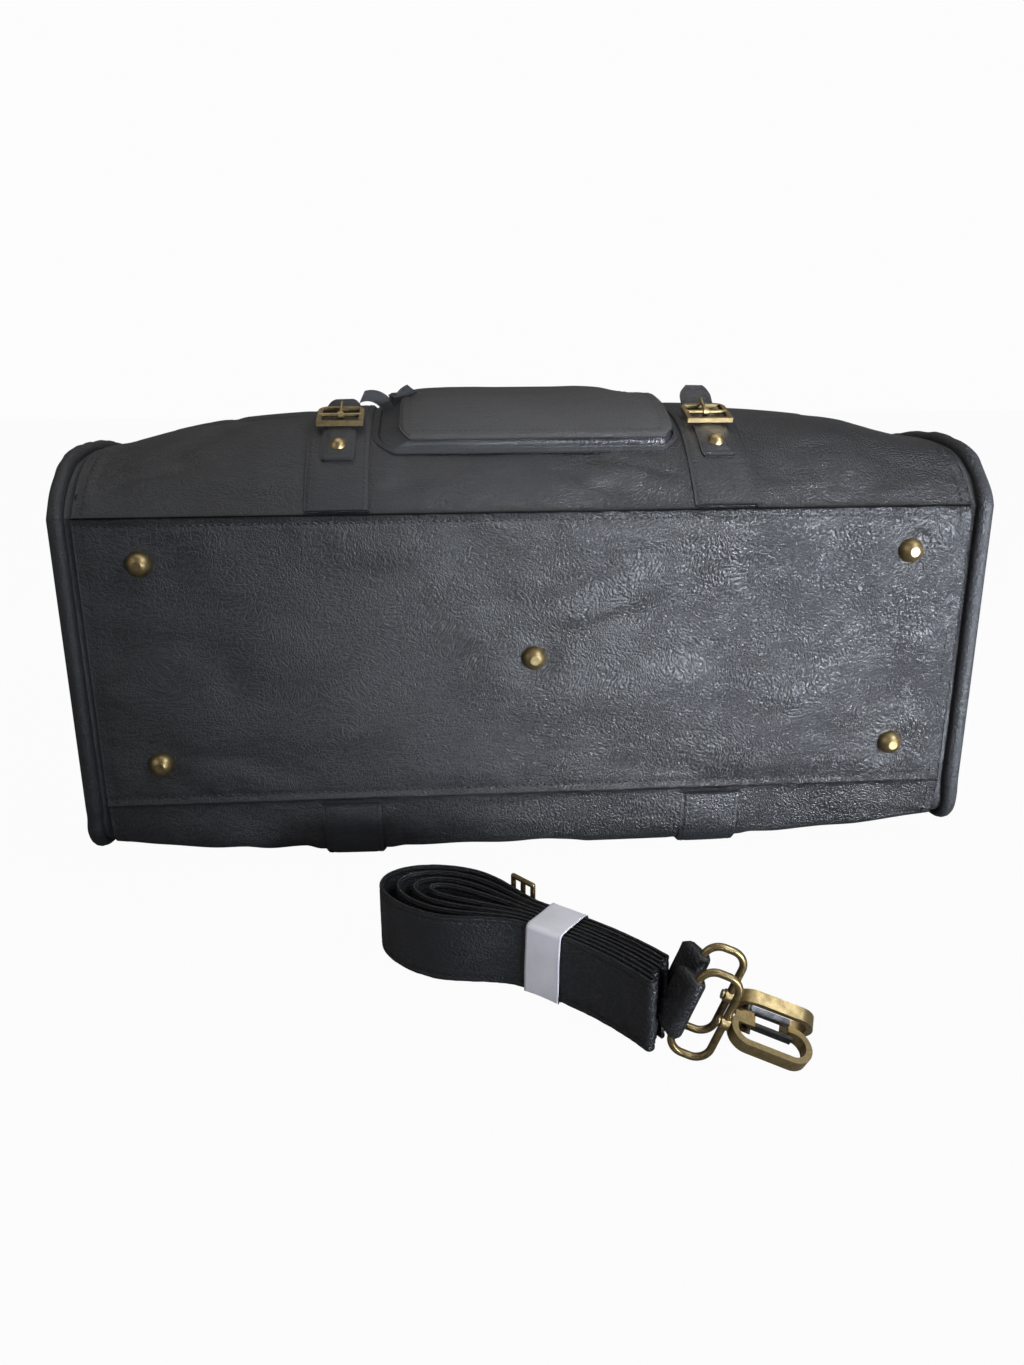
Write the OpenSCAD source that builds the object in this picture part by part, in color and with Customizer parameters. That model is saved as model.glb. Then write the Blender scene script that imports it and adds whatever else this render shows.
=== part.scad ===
// Weekender-style diaper bag lying on its back, base towards -Y, with its shoulder strap folded
// beside it. Origin: centre of the middle foot's flat tip. X along the bag, Y from base to zip,
// Z up; the floor lies ground_drop below the origin.

/* [Bag body] */
// Length of the base between the two end seams
base_len = 490; // [440:5:540]
// Depth of the base between the front and back seams
base_depth = 163; // [150:1:175]
// Height of the bag from the base to the zip
bag_h = 290; // [275:5:310]
// Swell of the front beyond the base seam at mid length
front_swell = 48; // [40:1:54]
// Swell of the back beyond the base seam at mid length
back_swell = 42.3; // [36:0.1:46]
// Swell of front and back at the end seams
end_swell = 22; // [16:1:28]
// Height of the fullest line above the base at mid length
crest_mid = 110; // [95:1:125]
// Height of the fullest line above the base at the end seams
crest_end = 45; // [35:1:60]
// Width of the top between its two folds
top_w = 130; // [116:2:144]
// Drop from the zip to the top folds
top_rise = 20; // [14:1:26]
// Puff of each end panel past its seam
end_puff = 18; // [10:1:24]
// Thickness of the leather
skin = 2.4; // [1.6:0.1:2.8]
// Thickness of the lining cloth
cloth = 0.8; // [0.5:0.1:1.0]
// Diameter of the piping bead round each end
piping_d = 4.4; // [3.6:0.1:4.8]

/* [Base] */
// Thickness of the stiffening board
board_t = 3; // [2:0.5:4]
// Length of the stiffening board
board_len = 462; // [400:2:470]
// Depth of the stiffening board
board_depth = 146; // [134:2:148]
// Diameter of a dome foot
foot_d = 14; // [12:0.5:18]
// Height of a dome foot
foot_h = 6; // [5:0.5:9]
// Diameter of the flat tip of a foot
foot_tip_d = 5; // [3:0.5:7]
// Distance of the corner feet from the middle, along the bag
foot_x = 210; // [180:5:215]
// Distance of the corner feet from the middle, across the base
foot_z = 57; // [45:1:62]
// Diameter of a foot's shank
shank_d = 4; // [3:0.5:5]
// Diameter of the washer inside
washer_d = 12; // [10:1:16]

/* [Straps and buckles] */
// Width of the sewn-on vertical straps
strap_w = 34.5; // [28:0.5:40]
// Thickness of the sewn-on straps
strap_t = 1.6; // [1.2:0.1:2]
// Distance of the straps from the middle
strap_x = 105; // [100:1:125]
// Width of a buckle tab
tab_w = 19; // [16:0.5:24]
// Thickness of a buckle tab
tab_t = 2; // [1.5:0.1:2.4]
// Distance along the strap from the base seam to the tab's rivet
tab_from = 24; // [20:1:30]
// Width of the buckle frame
buckle_w = 26; // [24:0.5:32]
// Length of the buckle frame
buckle_l = 25; // [22:0.5:28]
// Thickness of the buckle frame
buckle_t = 2.6; // [2:0.1:3]
// Diameter of the buckle's centre bar
bar_d = 2.2; // [1.8:0.1:2.6]
// Diameter of a tab rivet's dome
rivet_d = 9.5; // [8:0.5:11]

/* [Front pocket] */
// Width of the front pocket
pocket_w = 166; // [150:2:168]
// Distance from the base to the pocket's lower edge
pocket_y0 = 34; // [28:1:40]
// Distance from the base to the pocket's mouth
pocket_y1 = 186; // [170:2:196]
// Height of the pocket above the front at its lower edge
pocket_low = 7; // [6:0.5:8]
// Height of the pocket above the front at its fullest line
pocket_high = 8.5; // [8:0.5:14]
// Thickness of the pocket leather
pocket_skin = 1.8; // [1.4:0.1:2.2]

/* [Top and handles] */
// Length of each opening lip
lip_len = 404; // [360:4:410]
// Gap between the two halves of the zip
zip_gap = 2; // [1.8:0.1:2.6]
// Width of the zip tape on each side
tape_w = 13; // [10:1:16]
// Thickness of the zip tape
tape_t = 1.2; // [0.8:0.1:1.4]
// Reach of each handle past its rings
handle_reach = 118; // [90:2:130]
// Diameter of the rolled grip
grip_d = 11; // [9:0.5:13]
// Wire diameter of the rings
ring_wire = 3.6; // [3:0.2:4]
// Inner length of a handle ring
ring_gap = 13; // [11:1:18]

/* [End fittings] */
// Width of each end pocket
end_pocket_w = 96; // [80:2:104]
// Distance from the base to an end pocket's lower edge
end_pocket_y0 = 72; // [60:2:84]
// Distance from the base to an end pocket's mouth
end_pocket_y1 = 196; // [170:2:204]
// Room inside an end pocket
end_pocket_room = 7; // [6:0.5:8]
// Inner width of a D-ring
dee_w = 26; // [22:1:32]

/* [Shoulder strap] */
// Width of the shoulder strap
sling_w = 35; // [28:1:38]
// Thickness of the shoulder strap
sling_t = 2.4; // [1.8:0.1:2.5]
// Spacing of the strap's layers where they are pressed together
layer_pitch = 2.85; // [2.8:0.01:3.2]
// Width of the paper band
band_w = 19; // [14:1:24]
// Outer height of an oval ring
oval_h = 46; // [42:1:50]
// Outer width of an oval ring
oval_w = 21; // [19:1:24]
// Wire diameter of an oval ring
oval_wire = 3.4; // [3:0.1:3.8]
// Outer length of a snap hook's loop
hook_l = 36; // [32:1:40]
// Outer width of a snap hook's loop
hook_w = 17; // [15:0.5:19]
// Width of the hook's flat strip
hook_deep = 6; // [5:0.5:7]
// Thickness of the hook's flat strip
hook_t = 2.8; // [2.4:0.1:3.2]

/* [Hidden] */

$fn = 48;
gap = 0.3;
run_fit = 0.08;
half_depth = base_depth / 2;
half_top = top_w / 2;
seam_gap = 3;
panel_x = base_len / 2 - seam_gap;
panel_top_s = 1.975;
rim_x = base_len / 2 + 2;
fold_y = bag_h - top_rise;
base_y = foot_h;
strap_rise = gap + strap_t;
ground_drop = half_depth + back_swell + gap + strap_t;
ground_z = -ground_drop;
lip_x = lip_len / 2;
leather = [0.11, 0.11, 0.13];
leather_edge = [0.07, 0.07, 0.08];
brass = [0.52, 0.42, 0.22];
black_tape = [0.04, 0.04, 0.045];
lining_cloth = [0.28, 0.25, 0.22];
paper = [0.88, 0.87, 0.9];

// Section of the bag at x, in the plane of Y and Z. s runs 0 to 1 from the base seam to the
// fullest line and 1 to 2 from there to the top fold; shapes are worked on the +Z side, and
// the back's pieces are mirrored.
function cubic(a, b, c, d, t) =
    pow(1 - t, 3) * a + 3 * pow(1 - t, 2) * t * b + 3 * (1 - t) * t * t * c + t * t * t * d;
function fade(x) = 1 - pow(min(1, abs(x) / (base_len / 2 + 20)), 4);
function crest(x) = crest_end + (crest_mid - crest_end) * fade(x);
function swell(x, front) =
    half_depth + end_swell + ((front ? front_swell : back_swell) - end_swell) * fade(x);
function flat_from(x, front) = front ? crest(x) : 1.35 * crest(x);
function low_arc(x, front, t) =
    let (b = swell(x, front), c = crest(x), h = half_depth)
    front ? cubic([0, h], [0.25 * c, h + 0.75 * (b - h)], [0.6 * c, b], [c, b], t)
    : t < 0.6 ? cubic([0, h], [0, b], [0.02 * c, b], [0.6 * c, b], t / 0.6)
    : [(0.6 + 0.75 * (t - 0.6) / 0.4) * c, b];
function high_arc(x, front, t) =
    let (b = swell(x, front), y0 = flat_from(x, front), run = fold_y - y0)
    cubic([y0, b], [y0 + (front ? 0.45 : 0.55) * run, b],
        [fold_y - 0.32 * run, half_top + 0.35 * (b - half_top)], [fold_y, half_top], t);
function raw(x, front, s) = s <= 1 ? low_arc(x, front, s) : high_arc(x, front, s - 1);
function across(x, front, s) =
    let (e = 0.01, a = raw(x, front, max(0, s - e)), b = raw(x, front, min(2, s + e)), d = b - a)
    [-d[1], d[0]] / norm(d);
// A point of the section, moved out of the bag by lift
function skin_at(x, front, s, lift) =
    let (p = raw(x, front, s) + across(x, front, s) * lift) [x, base_y + p[0], p[1]];
// The section's parameter at height y above the base
function s_at(x, front, y, lo = 0, hi = 2, n = 0) =
    n > 16 ? (lo + hi) / 2
    : let (m = (lo + hi) / 2)
        raw(x, front, m)[0] < y ? s_at(x, front, y, m, hi, n + 1) : s_at(x, front, y, lo, m, n + 1);
function z_at(x, y) = raw(x, true, s_at(x, true, y))[1];
function steps(a, b, n) = [for (i = [0:n]) a + (b - a) * i / n];

// Closed slab between two grids of points with the same rows and columns
module slab(top, bottom) {
    rows = len(top);
    cols = len(top[0]);
    half = rows * cols;
    function at(r, c, k) = r * cols + c + k * half;
    points = concat([for (r = top) each r], [for (r = bottom) each r]);
    faces = concat(
        [for (r = [0:rows - 2], c = [0:cols - 2])
            each [[at(r, c, 0), at(r, c + 1, 0), at(r + 1, c, 0)],
                [at(r, c + 1, 0), at(r + 1, c + 1, 0), at(r + 1, c, 0)]]],
        [for (r = [0:rows - 2], c = [0:cols - 2])
            each [[at(r, c, 1), at(r + 1, c, 1), at(r, c + 1, 1)],
                [at(r, c + 1, 1), at(r + 1, c, 1), at(r + 1, c + 1, 1)]]],
        [for (r = [0:rows - 2])
            each [[at(r, 0, 0), at(r + 1, 0, 0), at(r, 0, 1)],
                [at(r + 1, 0, 0), at(r + 1, 0, 1), at(r, 0, 1)],
                [at(r, cols - 1, 0), at(r, cols - 1, 1), at(r + 1, cols - 1, 0)],
                [at(r + 1, cols - 1, 0), at(r, cols - 1, 1), at(r + 1, cols - 1, 1)]]],
        [for (c = [0:cols - 2])
            each [[at(0, c, 0), at(0, c, 1), at(0, c + 1, 0)],
                [at(0, c + 1, 0), at(0, c, 1), at(0, c + 1, 1)],
                [at(rows - 1, c, 0), at(rows - 1, c + 1, 0), at(rows - 1, c, 1)],
                [at(rows - 1, c + 1, 0), at(rows - 1, c + 1, 1), at(rows - 1, c, 1)]]]);
    polyhedron(points, faces);
}

// Closed tube through rings of points, with flat ends
module tube(rings) {
    n = len(rings[0]);
    m = len(rings);
    faces = concat([[for (k = [n - 1:-1:0]) k]],
        [for (i = [0:m - 2], k = [0:n - 1])
            let (a = i * n + k, b = i * n + (k + 1) % n)
            each [[a, b, a + n], [b, b + n, a + n]]],
        [[for (k = [0:n - 1]) (m - 1) * n + k]]);
    polyhedron([for (r = rings) each r], faces);
}

// Strip of the section between two x and two parameters, between two lifts
module strip(front, x0, x1, nx, s0, s1, ns, lift_out, lift_in) {
    slab([for (x = steps(x0, x1, nx)) [for (s = steps(s0, s1, ns)) skin_at(x, front, s, lift_out)]],
        [for (x = steps(x0, x1, nx)) [for (s = steps(s0, s1, ns)) skin_at(x, front, s, lift_in)]]);
}

// Both ends of the bag from one shape made on the +X side
module left_end() mirror([1, 0, 0]) children();
// The back of the bag from a shape made on the +Z side
module back_side() mirror([0, 0, 1]) children();

// Rounded plate in the plane of X and Z, thick along +Y from y
module base_plate(len, depth, corner, y, thick) {
    translate([0, y + thick, 0]) rotate([90, 0, 0]) linear_extrude(thick) {
        square([len - 2 * corner, depth], center = true);
        square([len, depth - 2 * corner], center = true);
        for (x = [-1, 1], z = [-1, 1])
            translate([x * (len / 2 - corner), z * (depth / 2 - corner)]) circle(corner);
    }
}

foot_places = [[0, 0], [foot_x, foot_z], [foot_x, -foot_z], [-foot_x, foot_z], [-foot_x, -foot_z]];
module at_feet(y) {
    for (p = foot_places)
        translate([p[0], y, p[1]]) rotate([-90, 0, 0]) children();
}
board_y = base_y + skin + gap;

module base_panel() {
    color(leather) difference() {
        base_plate(2 * panel_x, base_depth - 2 * (0.7 * skin + gap), 2, base_y, skin);
        at_feet(base_y - 1) cylinder(d = shank_d + 2 * run_fit, h = skin + 2);
    }
}

module base_board() {
    color(lining_cloth) difference() {
        base_plate(board_len, board_depth, 8, board_y, board_t);
        at_feet(board_y - 1) cylinder(d = shank_d + 2 * run_fit, h = board_t + 2);
    }
}

// Dome turned about its own axis, cut flat at its tip, with the shank through the board
module foot() {
    dome_r = foot_d / 2;
    tip_r = foot_tip_d / 2;
    rotate_extrude() {
        intersection() {
            translate([0, sqrt(dome_r * dome_r - tip_r * tip_r)]) circle(dome_r);
            square([dome_r, foot_h]);
        }
        square([shank_d / 2, foot_h + skin + board_t + gap + 2]);
    }
}

module feet() {
    color(brass) at_feet(0) foot();
}

module foot_washers() {
    color(brass) at_feet(board_y + board_t) difference() {
        cylinder(d = washer_d, h = 1);
        translate([0, 0, -1]) cylinder(d = shank_d + 2 * run_fit, h = 3);
    }
}

module front_panel() {
    color(leather) strip(true, -panel_x, panel_x, 16, 0, panel_top_s, 18, 0, -skin);
}

module back_panel() {
    color(leather) back_side() strip(false, -panel_x, panel_x, 16, 0, panel_top_s, 18, 0, -skin);
}

// Outline of the end panel from the front's top fold round the base to the back's top fold
function end_outline(x, lift, n) = concat(
    [for (s = steps(2, 0, n)) let (p = skin_at(x, true, s, lift)) [p[1], p[2]]],
    [for (s = steps(0, 2, n)) let (p = skin_at(x, false, s, lift)) [p[1], -p[2]]]);
end_mid = [base_y + 0.45 * bag_h, 0];
// Puff of the end panel at height y and width z
function crown(y, z) =
    let (half_h = fold_y / 2 + 3, a = abs(y - base_y - fold_y / 2) / half_h,
        b = abs(z) / (half_depth + end_swell + 1))
    end_puff * (1 - pow(min(1, pow(pow(a, 4) + pow(b, 4), 0.25)), 5));
function dish(x, rings, n, grow) =
    let (o = concat(end_outline(base_len / 2, 0, n),
            [for (z = steps(-0.75 * half_top, 0.75 * half_top, 4)) [top_y(z), z]]))
    [for (r = [0:rings]) let (k = grow * max(0.02, r / rings))
        [for (p = concat(o, [o[0]])) let (q = end_mid + (p - end_mid) * k)
            [x + crown(q[0], q[1]), q[0], q[1]]]];

// Closed cap over an outline: two dished grids joined round the rim
module end_cap(x, thick, rings, n, grow) {
    top = dish(x + thick, rings, n, grow);
    low = dish(x, rings, n, grow);
    cols = len(top[0]) - 1;
    rows = rings + 1;
    half = rows * cols;
    function at(r, c, k) = r * cols + c % cols + k * half;
    points = concat([for (r = top) each [for (c = [0:cols - 1]) r[c]]],
        [for (r = low) each [for (c = [0:cols - 1]) r[c]]]);
    faces = concat(
        [[for (c = [cols - 1:-1:0]) at(0, c, 0)], [for (c = [0:cols - 1]) at(0, c, 1)]],
        [for (r = [0:rows - 2], c = [0:cols - 1])
            each [[at(r, c, 0), at(r, c + 1, 0), at(r + 1, c, 0)],
                [at(r, c + 1, 0), at(r + 1, c + 1, 0), at(r + 1, c, 0)],
                [at(r, c, 1), at(r + 1, c, 1), at(r, c + 1, 1)],
                [at(r, c + 1, 1), at(r + 1, c, 1), at(r + 1, c + 1, 1)]]],
        [for (c = [0:cols - 1])
            each [[at(rows - 1, c, 0), at(rows - 1, c + 1, 0), at(rows - 1, c, 1)],
                [at(rows - 1, c + 1, 0), at(rows - 1, c + 1, 1), at(rows - 1, c, 1)]]]);
    polyhedron(points, faces);
}

module end_panel_right() {
    color(leather) end_cap(rim_x + 0.4, skin, 7, 14, 1);
}

module end_panel_left() {
    color(leather) left_end() end_cap(rim_x + 0.4, skin, 7, 14, 1);
}

// Bead along the end seam, from the front's top fold round the base to the back's
module bead() {
    sides = 8;
    r = piping_d / 2;
    o = end_outline(base_len / 2, -0.6, 16);
    tube([for (i = [0:len(o) - 1])
        let (a = o[max(0, i - 1)], b = o[min(len(o) - 1, i + 1)], d = (b - a) / norm(b - a))
            [for (k = [0:sides - 1]) let (w = 360 * k / sides)
                [rim_x - r + r * cos(w), o[i][0] - d[1] * r * sin(w), o[i][1] + d[0] * r * sin(w)]]]);
}

module piping_right() {
    color(leather_edge) bead();
}

module piping_left() {
    color(leather_edge) left_end() bead();
}

// U of cloth inside the front, base and back
lining_drop = skin + 0.9;
lining_ss = [for (s = steps(0, panel_top_s, 18)) if (s > 0.1 && s < panel_top_s - 0.1) s];
lining_x = panel_x - 4;
function lining_row(x, lift) = concat(
    [for (i = [len(lining_ss) - 1:-1:0]) skin_at(x, true, lining_ss[i], lift)],
    [for (z = [0.9, 0, -0.9])
        [x, board_y + board_t + 1 + gap - (lift + lining_drop), z * (half_depth - 6)]],
    [for (s = lining_ss) let (p = skin_at(x, false, s, lift)) [p[0], p[1], -p[2]]]);
module lining() {
    color(lining_cloth) difference() {
        slab([for (x = steps(-lining_x, lining_x, 16)) lining_row(x, -lining_drop - cloth)],
            [for (x = steps(-lining_x, lining_x, 16)) lining_row(x, -lining_drop)]);
        at_feet(board_y) cylinder(d = washer_d + 1, h = board_t + 3);
    }
}

module lining_ends() {
    color(lining_cloth) for (side = [0, 1]) mirror([side, 0, 0])
        end_cap(rim_x - 1.9 - cloth, cloth, 7, 14, 0.95);
}

// Top of the bag: outer face at z from the zip's line, then the fold
function top_y(z) = base_y + bag_h - top_rise * pow(abs(z) / half_top, 2);
leather_from = 8;
module top_leather(x0, x1, nx) {
    zs = steps(leather_from, half_top - 2 * gap, 6);
    slab([for (x = steps(x0, x1, nx)) [for (z = zs) [x, top_y(z) - skin, z]]],
        [for (x = steps(x0, x1, nx)) [for (z = zs) [x, top_y(z), z]]]);
}

tape_y = base_y + bag_h - skin - top_rise * pow(tape_w / half_top, 2) - gap - tape_t;
zip_y = tape_y + tape_t;
teeth_w = 2.2;
teeth_t = 2.6;
// Half of the zip on the +Z side: the tape and its row of teeth
module half_zip(x0, x1) {
    translate([x0, tape_y, zip_gap / 2 + 0.4]) cube([x1 - x0, tape_t, tape_w]);
    translate([x0, tape_y + tape_t / 2 - teeth_t / 2, zip_gap / 2]) cube([x1 - x0, teeth_t, teeth_w]);
}

module lip_front() {
    color(leather) top_leather(-lip_x, lip_x, 8);
}

module lip_back() {
    color(leather) back_side() top_leather(-lip_x, lip_x, 8);
}

module zip_tape_front() {
    color(black_tape) half_zip(-lip_x, lip_x);
}

module zip_tape_back() {
    color(black_tape) back_side() half_zip(-lip_x, lip_x);
}

end_tape_x = panel_x - 6;
module zip_end_tapes() {
    color(black_tape) for (side = [0, 1], back = [0, 1])
        mirror([side, 0, 0]) mirror([0, 0, back]) half_zip(lip_x + gap, end_tape_x);
}

// Closed leather at one end of the top, both wings
module top_wings() {
    for (back = [0, 1]) mirror([0, 0, back]) top_leather(lip_x + 2 * gap, panel_x, 2);
}

module top_end_right() {
    color(leather) top_wings();
}

module top_end_left() {
    color(leather) left_end() top_wings();
}

// Leather tab across the end of the zip, on both wings
tab_len = 15;
module zip_tab() {
    translate([panel_x - tab_len, base_y + bag_h + gap, -leather_from - 6])
        cube([tab_len, 1.2, 2 * leather_from + 12]);
}

module zip_tab_right() {
    color(leather_edge) zip_tab();
}

module zip_tab_left() {
    color(leather_edge) left_end() zip_tab();
}

// The slider straddles the teeth: plates above and below, joined by a thin wedge between them
slider_l = 13;
slider_w = 9;
slider_x = lip_x + 1 + slider_l / 2;
plate_t = 1.3;
bail_r = 0.9;
teeth_top = tape_y + tape_t / 2 + teeth_t / 2;
teeth_low = teeth_top - teeth_t;
bail_h = 3.8;
puller_y = teeth_top + gap + plate_t + bail_h;
module slider_at(x, y_low, y_high) {
    wedge = zip_gap - 2 * gap;
    translate([x - slider_l / 2, y_high + gap, -slider_w / 2]) cube([slider_l, plate_t, slider_w]);
    translate([x - slider_l / 2, y_low - gap - plate_t, -slider_w / 2])
        cube([slider_l, plate_t, slider_w]);
    translate([x - slider_l / 4, y_low - gap - plate_t / 2, -wedge / 2])
        cube([slider_l / 2, y_high - y_low + 2 * gap + plate_t, wedge]);
    for (z = [-1, 1]) translate([x - 1.5, y_high + gap + plate_t / 2, z * 3.2 - 0.6])
        cube([3, bail_h + plate_t / 2 + bail_r, 1.2]);
    translate([x, y_high + gap + plate_t + bail_h, 0]) cylinder(r = bail_r, h = 6.4, center = true);
}

module zip_slider() {
    color(brass) slider_at(slider_x, teeth_low, teeth_top);
}

// Flat pull with an eye round the slider's bail
puller_l = 26;
module zip_puller() {
    color(brass) translate([slider_x, puller_y, 0]) difference() {
        union() {
            cylinder(r = bail_r + 1, h = 4, center = true);
            translate([bail_r + 0.3, -0.7, -2]) cube([4, 1.4, 4]);
            translate([4, -0.7, -3.5]) cube([puller_l - 4, 1.4, 7]);
        }
        cylinder(r = bail_r + run_fit, h = 8, center = true);
        translate([puller_l - 5, 0, 0]) rotate([90, 0, 0]) cylinder(r = 1.6, h = 4, center = true);
    }
}

// Vertical strap over the front or back, from the base seam to its ring loop near the top
loop_y = 250;
loop_bore = ring_wire / 2 + run_fit;
loop_r = loop_bore + strap_t;
function strap_end(front) = s_at(strap_x, front, loop_y - base_y - loop_r);
module vertical_strap(front) {
    strip(front, strap_x - strap_w / 2, strap_x + strap_w / 2, 4, 0.02, strap_end(front), 22,
        gap + strap_t, gap);
}

module strap_front_right() {
    color(leather) vertical_strap(true);
}

module strap_front_left() {
    color(leather) left_end() vertical_strap(true);
}

module strap_back_right() {
    color(leather) back_side() vertical_strap(false);
}

module strap_back_left() {
    color(leather) left_end() back_side() vertical_strap(false);
}

// Folded end of a strap, stitched round the lower bar of a handle ring
function loop_at(front) =
    let (p = skin_at(strap_x, front, s_at(strap_x, front, loop_y - base_y), gap + loop_r))
    [p[1], p[2]];
module ring_loops(front) {
    for (side = [-1, 1]) translate([side * strap_x, loop_at(front)[0], loop_at(front)[1]])
        rotate([0, 90, 0]) difference() {
            cylinder(r = loop_r, h = strap_w - 2, center = true);
            cylinder(r = loop_bore, h = strap_w, center = true);
        }
}

module ring_loops_front() {
    color(leather) ring_loops(true);
}

module ring_loops_back() {
    color(leather) back_side() ring_loops(false);
}

// Rectangular wire ring: lower bar in the strap's loop, upper bar in the handle's
ring_w = strap_w + 3;
module rectangular_ring() {
    r = ring_wire / 2;
    for (y = [0, ring_gap + ring_wire]) translate([0, y, 0]) rotate([0, 90, 0])
        cylinder(r = r, h = ring_w, center = true);
    for (x = [-ring_w / 2, ring_w / 2]) {
        translate([x, 0, 0]) rotate([-90, 0, 0]) cylinder(r = r, h = ring_gap + ring_wire);
        for (y = [0, ring_gap + ring_wire]) translate([x, y, 0]) sphere(r);
    }
}

module handle_rings(front) {
    for (side = [-1, 1]) translate([side * strap_x, loop_at(front)[0], loop_at(front)[1]])
        rectangular_ring();
}

module handle_rings_front() {
    color(brass) handle_rings(true);
}

module handle_rings_back() {
    color(brass) back_side() handle_rings(false);
}

// Handle: flat ends looped on the rings, growing into a round grip that arches past the zip
grip_low = 24;
function handle_mid(a, front) =
    let (start = loop_at(front)[0] + ring_gap + ring_wire + loop_bore + 2.2,
        sag = ground_drop - loop_at(front)[1] - grip_d / 2 - gap - 0.5)
    [-strap_x * cos(a), start + handle_reach * pow(sin(a), 0.55),
        loop_at(front)[1] + (front ? grip_low : sag) * pow(sin(a), 0.8)];
module handle_arch(front) {
    n = 30;
    sides = 10;
    tube([for (i = [0:n])
        let (a = 180 * (i + 0.0) / n, p = handle_mid(a, front),
            f = handle_mid(min(180, a + 1.5), front) - handle_mid(max(0, a - 1.5), front),
            d = f / norm(f), flat = pow(sin(a), 0.45),
            wide = (tab_w * 1.4 * (1 - flat) + grip_d * flat) / 2,
            thick = (3.4 * (1 - flat) + grip_d * flat) / 2,
            out = cross(d, [0, 0, 1]), side = out / norm(out), up = cross(side, d))
        [for (k = [0:sides - 1]) let (w = 360 * k / sides) p + side * wide * cos(w) + up * thick * sin(w)]]);
    bar_y = loop_at(front)[0] + ring_gap + ring_wire;
    for (side = [-1, 1]) translate([side * strap_x, bar_y, loop_at(front)[1]]) rotate([0, 90, 0])
        difference() {
            cylinder(r = loop_bore + 1.9, h = tab_w * 1.4, center = true);
            cylinder(r = loop_bore, h = strap_w, center = true);
        }
}

module handle_front() {
    color(leather) handle_arch(true);
}

module handle_back() {
    color(leather) back_side() handle_arch(false);
}

// Buckle tab: riveted at its lower end, threaded through the buckle, its tip lifting free
tab_rise = strap_rise + gap;
tab_to = 92;
tip_from = 74;
module buckle_tab(tip_lift) {
    ys = steps(tab_from, tab_to, 16);
    function rise(y) = tab_rise + tip_lift * pow(max(0, (y - tip_from) / (tab_to - tip_from)), 1.6);
    function narrow(y) = y > tab_to - 6 ? sqrt(1 - pow((y - tab_to + 6) / 7, 2)) : 1;
    function row(y, up) = [for (v = [-1, 0, 1])
        skin_at(strap_x + v * narrow(y) * tab_w / 2, true, s_at(strap_x, true, y), rise(y) + up)];
    slab([for (y = ys) row(y, 0)], [for (y = ys) row(y, tab_t)]);
}

module buckle_tab_right() {
    color(leather) buckle_tab(11);
}

module buckle_tab_left() {
    color(leather) left_end() buckle_tab(4);
}

// Places its children on the tab at height y, with Z along the leather's normal
module on_tab(y, lift) {
    s = s_at(strap_x, true, y);
    n = across(strap_x, true, s);
    translate(skin_at(strap_x, true, s, tab_rise + tab_t + lift))
        rotate([atan2(-n[0], n[1]), 0, 0]) children();
}

buckle_y = 60;
frame_lift = 0.7;
bar_z = frame_lift + 0.7 * buckle_t;
side_bar = 2.6;
module buckle_frame() {
    corner = 6;
    translate([0, 0, frame_lift]) linear_extrude(buckle_t) difference() {
        union() {
            translate([0, -corner / 2]) square([buckle_w, buckle_l - corner], center = true);
            square([buckle_w - 2 * corner, buckle_l], center = true);
            for (x = [-1, 1])
                translate([x * (buckle_w / 2 - corner), buckle_l / 2 - corner]) circle(corner);
        }
        square([buckle_w - 2 * side_bar, buckle_l - 2 * side_bar], center = true);
    }
    translate([0, 0, bar_z]) rotate([0, 90, 0])
        cylinder(d = bar_d, h = buckle_w - side_bar, center = true);
}

module buckle_right() {
    color(brass) on_tab(buckle_y, 0) buckle_frame();
}

module buckle_left() {
    color(brass) left_end() on_tab(buckle_y, 0) buckle_frame();
}

// Prong: an eye round the centre bar and a pin lying over the upper bar
prong_r = 0.9;
module prong() {
    eye_r = bar_d / 2 + run_fit;
    rise = atan2(prong_r + gap + buckle_t + frame_lift - bar_z, buckle_l / 2 - side_bar);
    translate([0, 0, bar_z]) difference() {
        union() {
            rotate([0, 90, 0]) cylinder(r = eye_r + 0.9, h = 3, center = true);
            rotate([rise - 90, 0, 0]) cylinder(r = prong_r, h = buckle_l / 2 + 1.5);
        }
        rotate([0, 90, 0]) cylinder(r = eye_r, h = 4, center = true);
    }
}

module prong_right() {
    color(brass) on_tab(buckle_y, 0) prong();
}

module prong_left() {
    color(brass) left_end() on_tab(buckle_y, 0) prong();
}

// Domed rivet caps at the tabs' lower ends
module tab_rivets() {
    cap_h = 3.2;
    cap_r = (pow(rivet_d / 2, 2) + cap_h * cap_h) / (2 * cap_h);
    color(brass) for (side = [0, 1]) mirror([side, 0, 0])
        on_tab(tab_from + rivet_d / 2 + 5, gap) rotate_extrude() intersection() {
            translate([0, cap_h - cap_r]) circle(cap_r);
            square([rivet_d, cap_h]);
        }
}

// Bellows pocket on the front: a face, a wall on three sides and a zipped mouth at the top
function pocket_half(y) =
    pocket_w / 2 - 7 * pow(1 - min(1, (y - pocket_y0) / 12), 2);
function pocket_z(x, y) =
    let (c = crest_mid, grow = min(1, (y - pocket_y0) / (c - pocket_y0)))
    z_at(x, min(y, c)) + pocket_low + (pocket_high - pocket_low) * sin(90 * grow);
module pocket_face() {
    ys = concat(steps(pocket_y0, pocket_y0 + 12, 3), steps(pocket_y0 + 20, pocket_y1, 9));
    function row(y, drop) = [for (v = steps(-1, 1, 10)) let (x = v * pocket_half(y))
        [x, base_y + y, pocket_z(x, y) - drop]];
    color(leather) slab([for (y = ys) row(y, pocket_skin)], [for (y = ys) row(y, 0)]);
}

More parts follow.
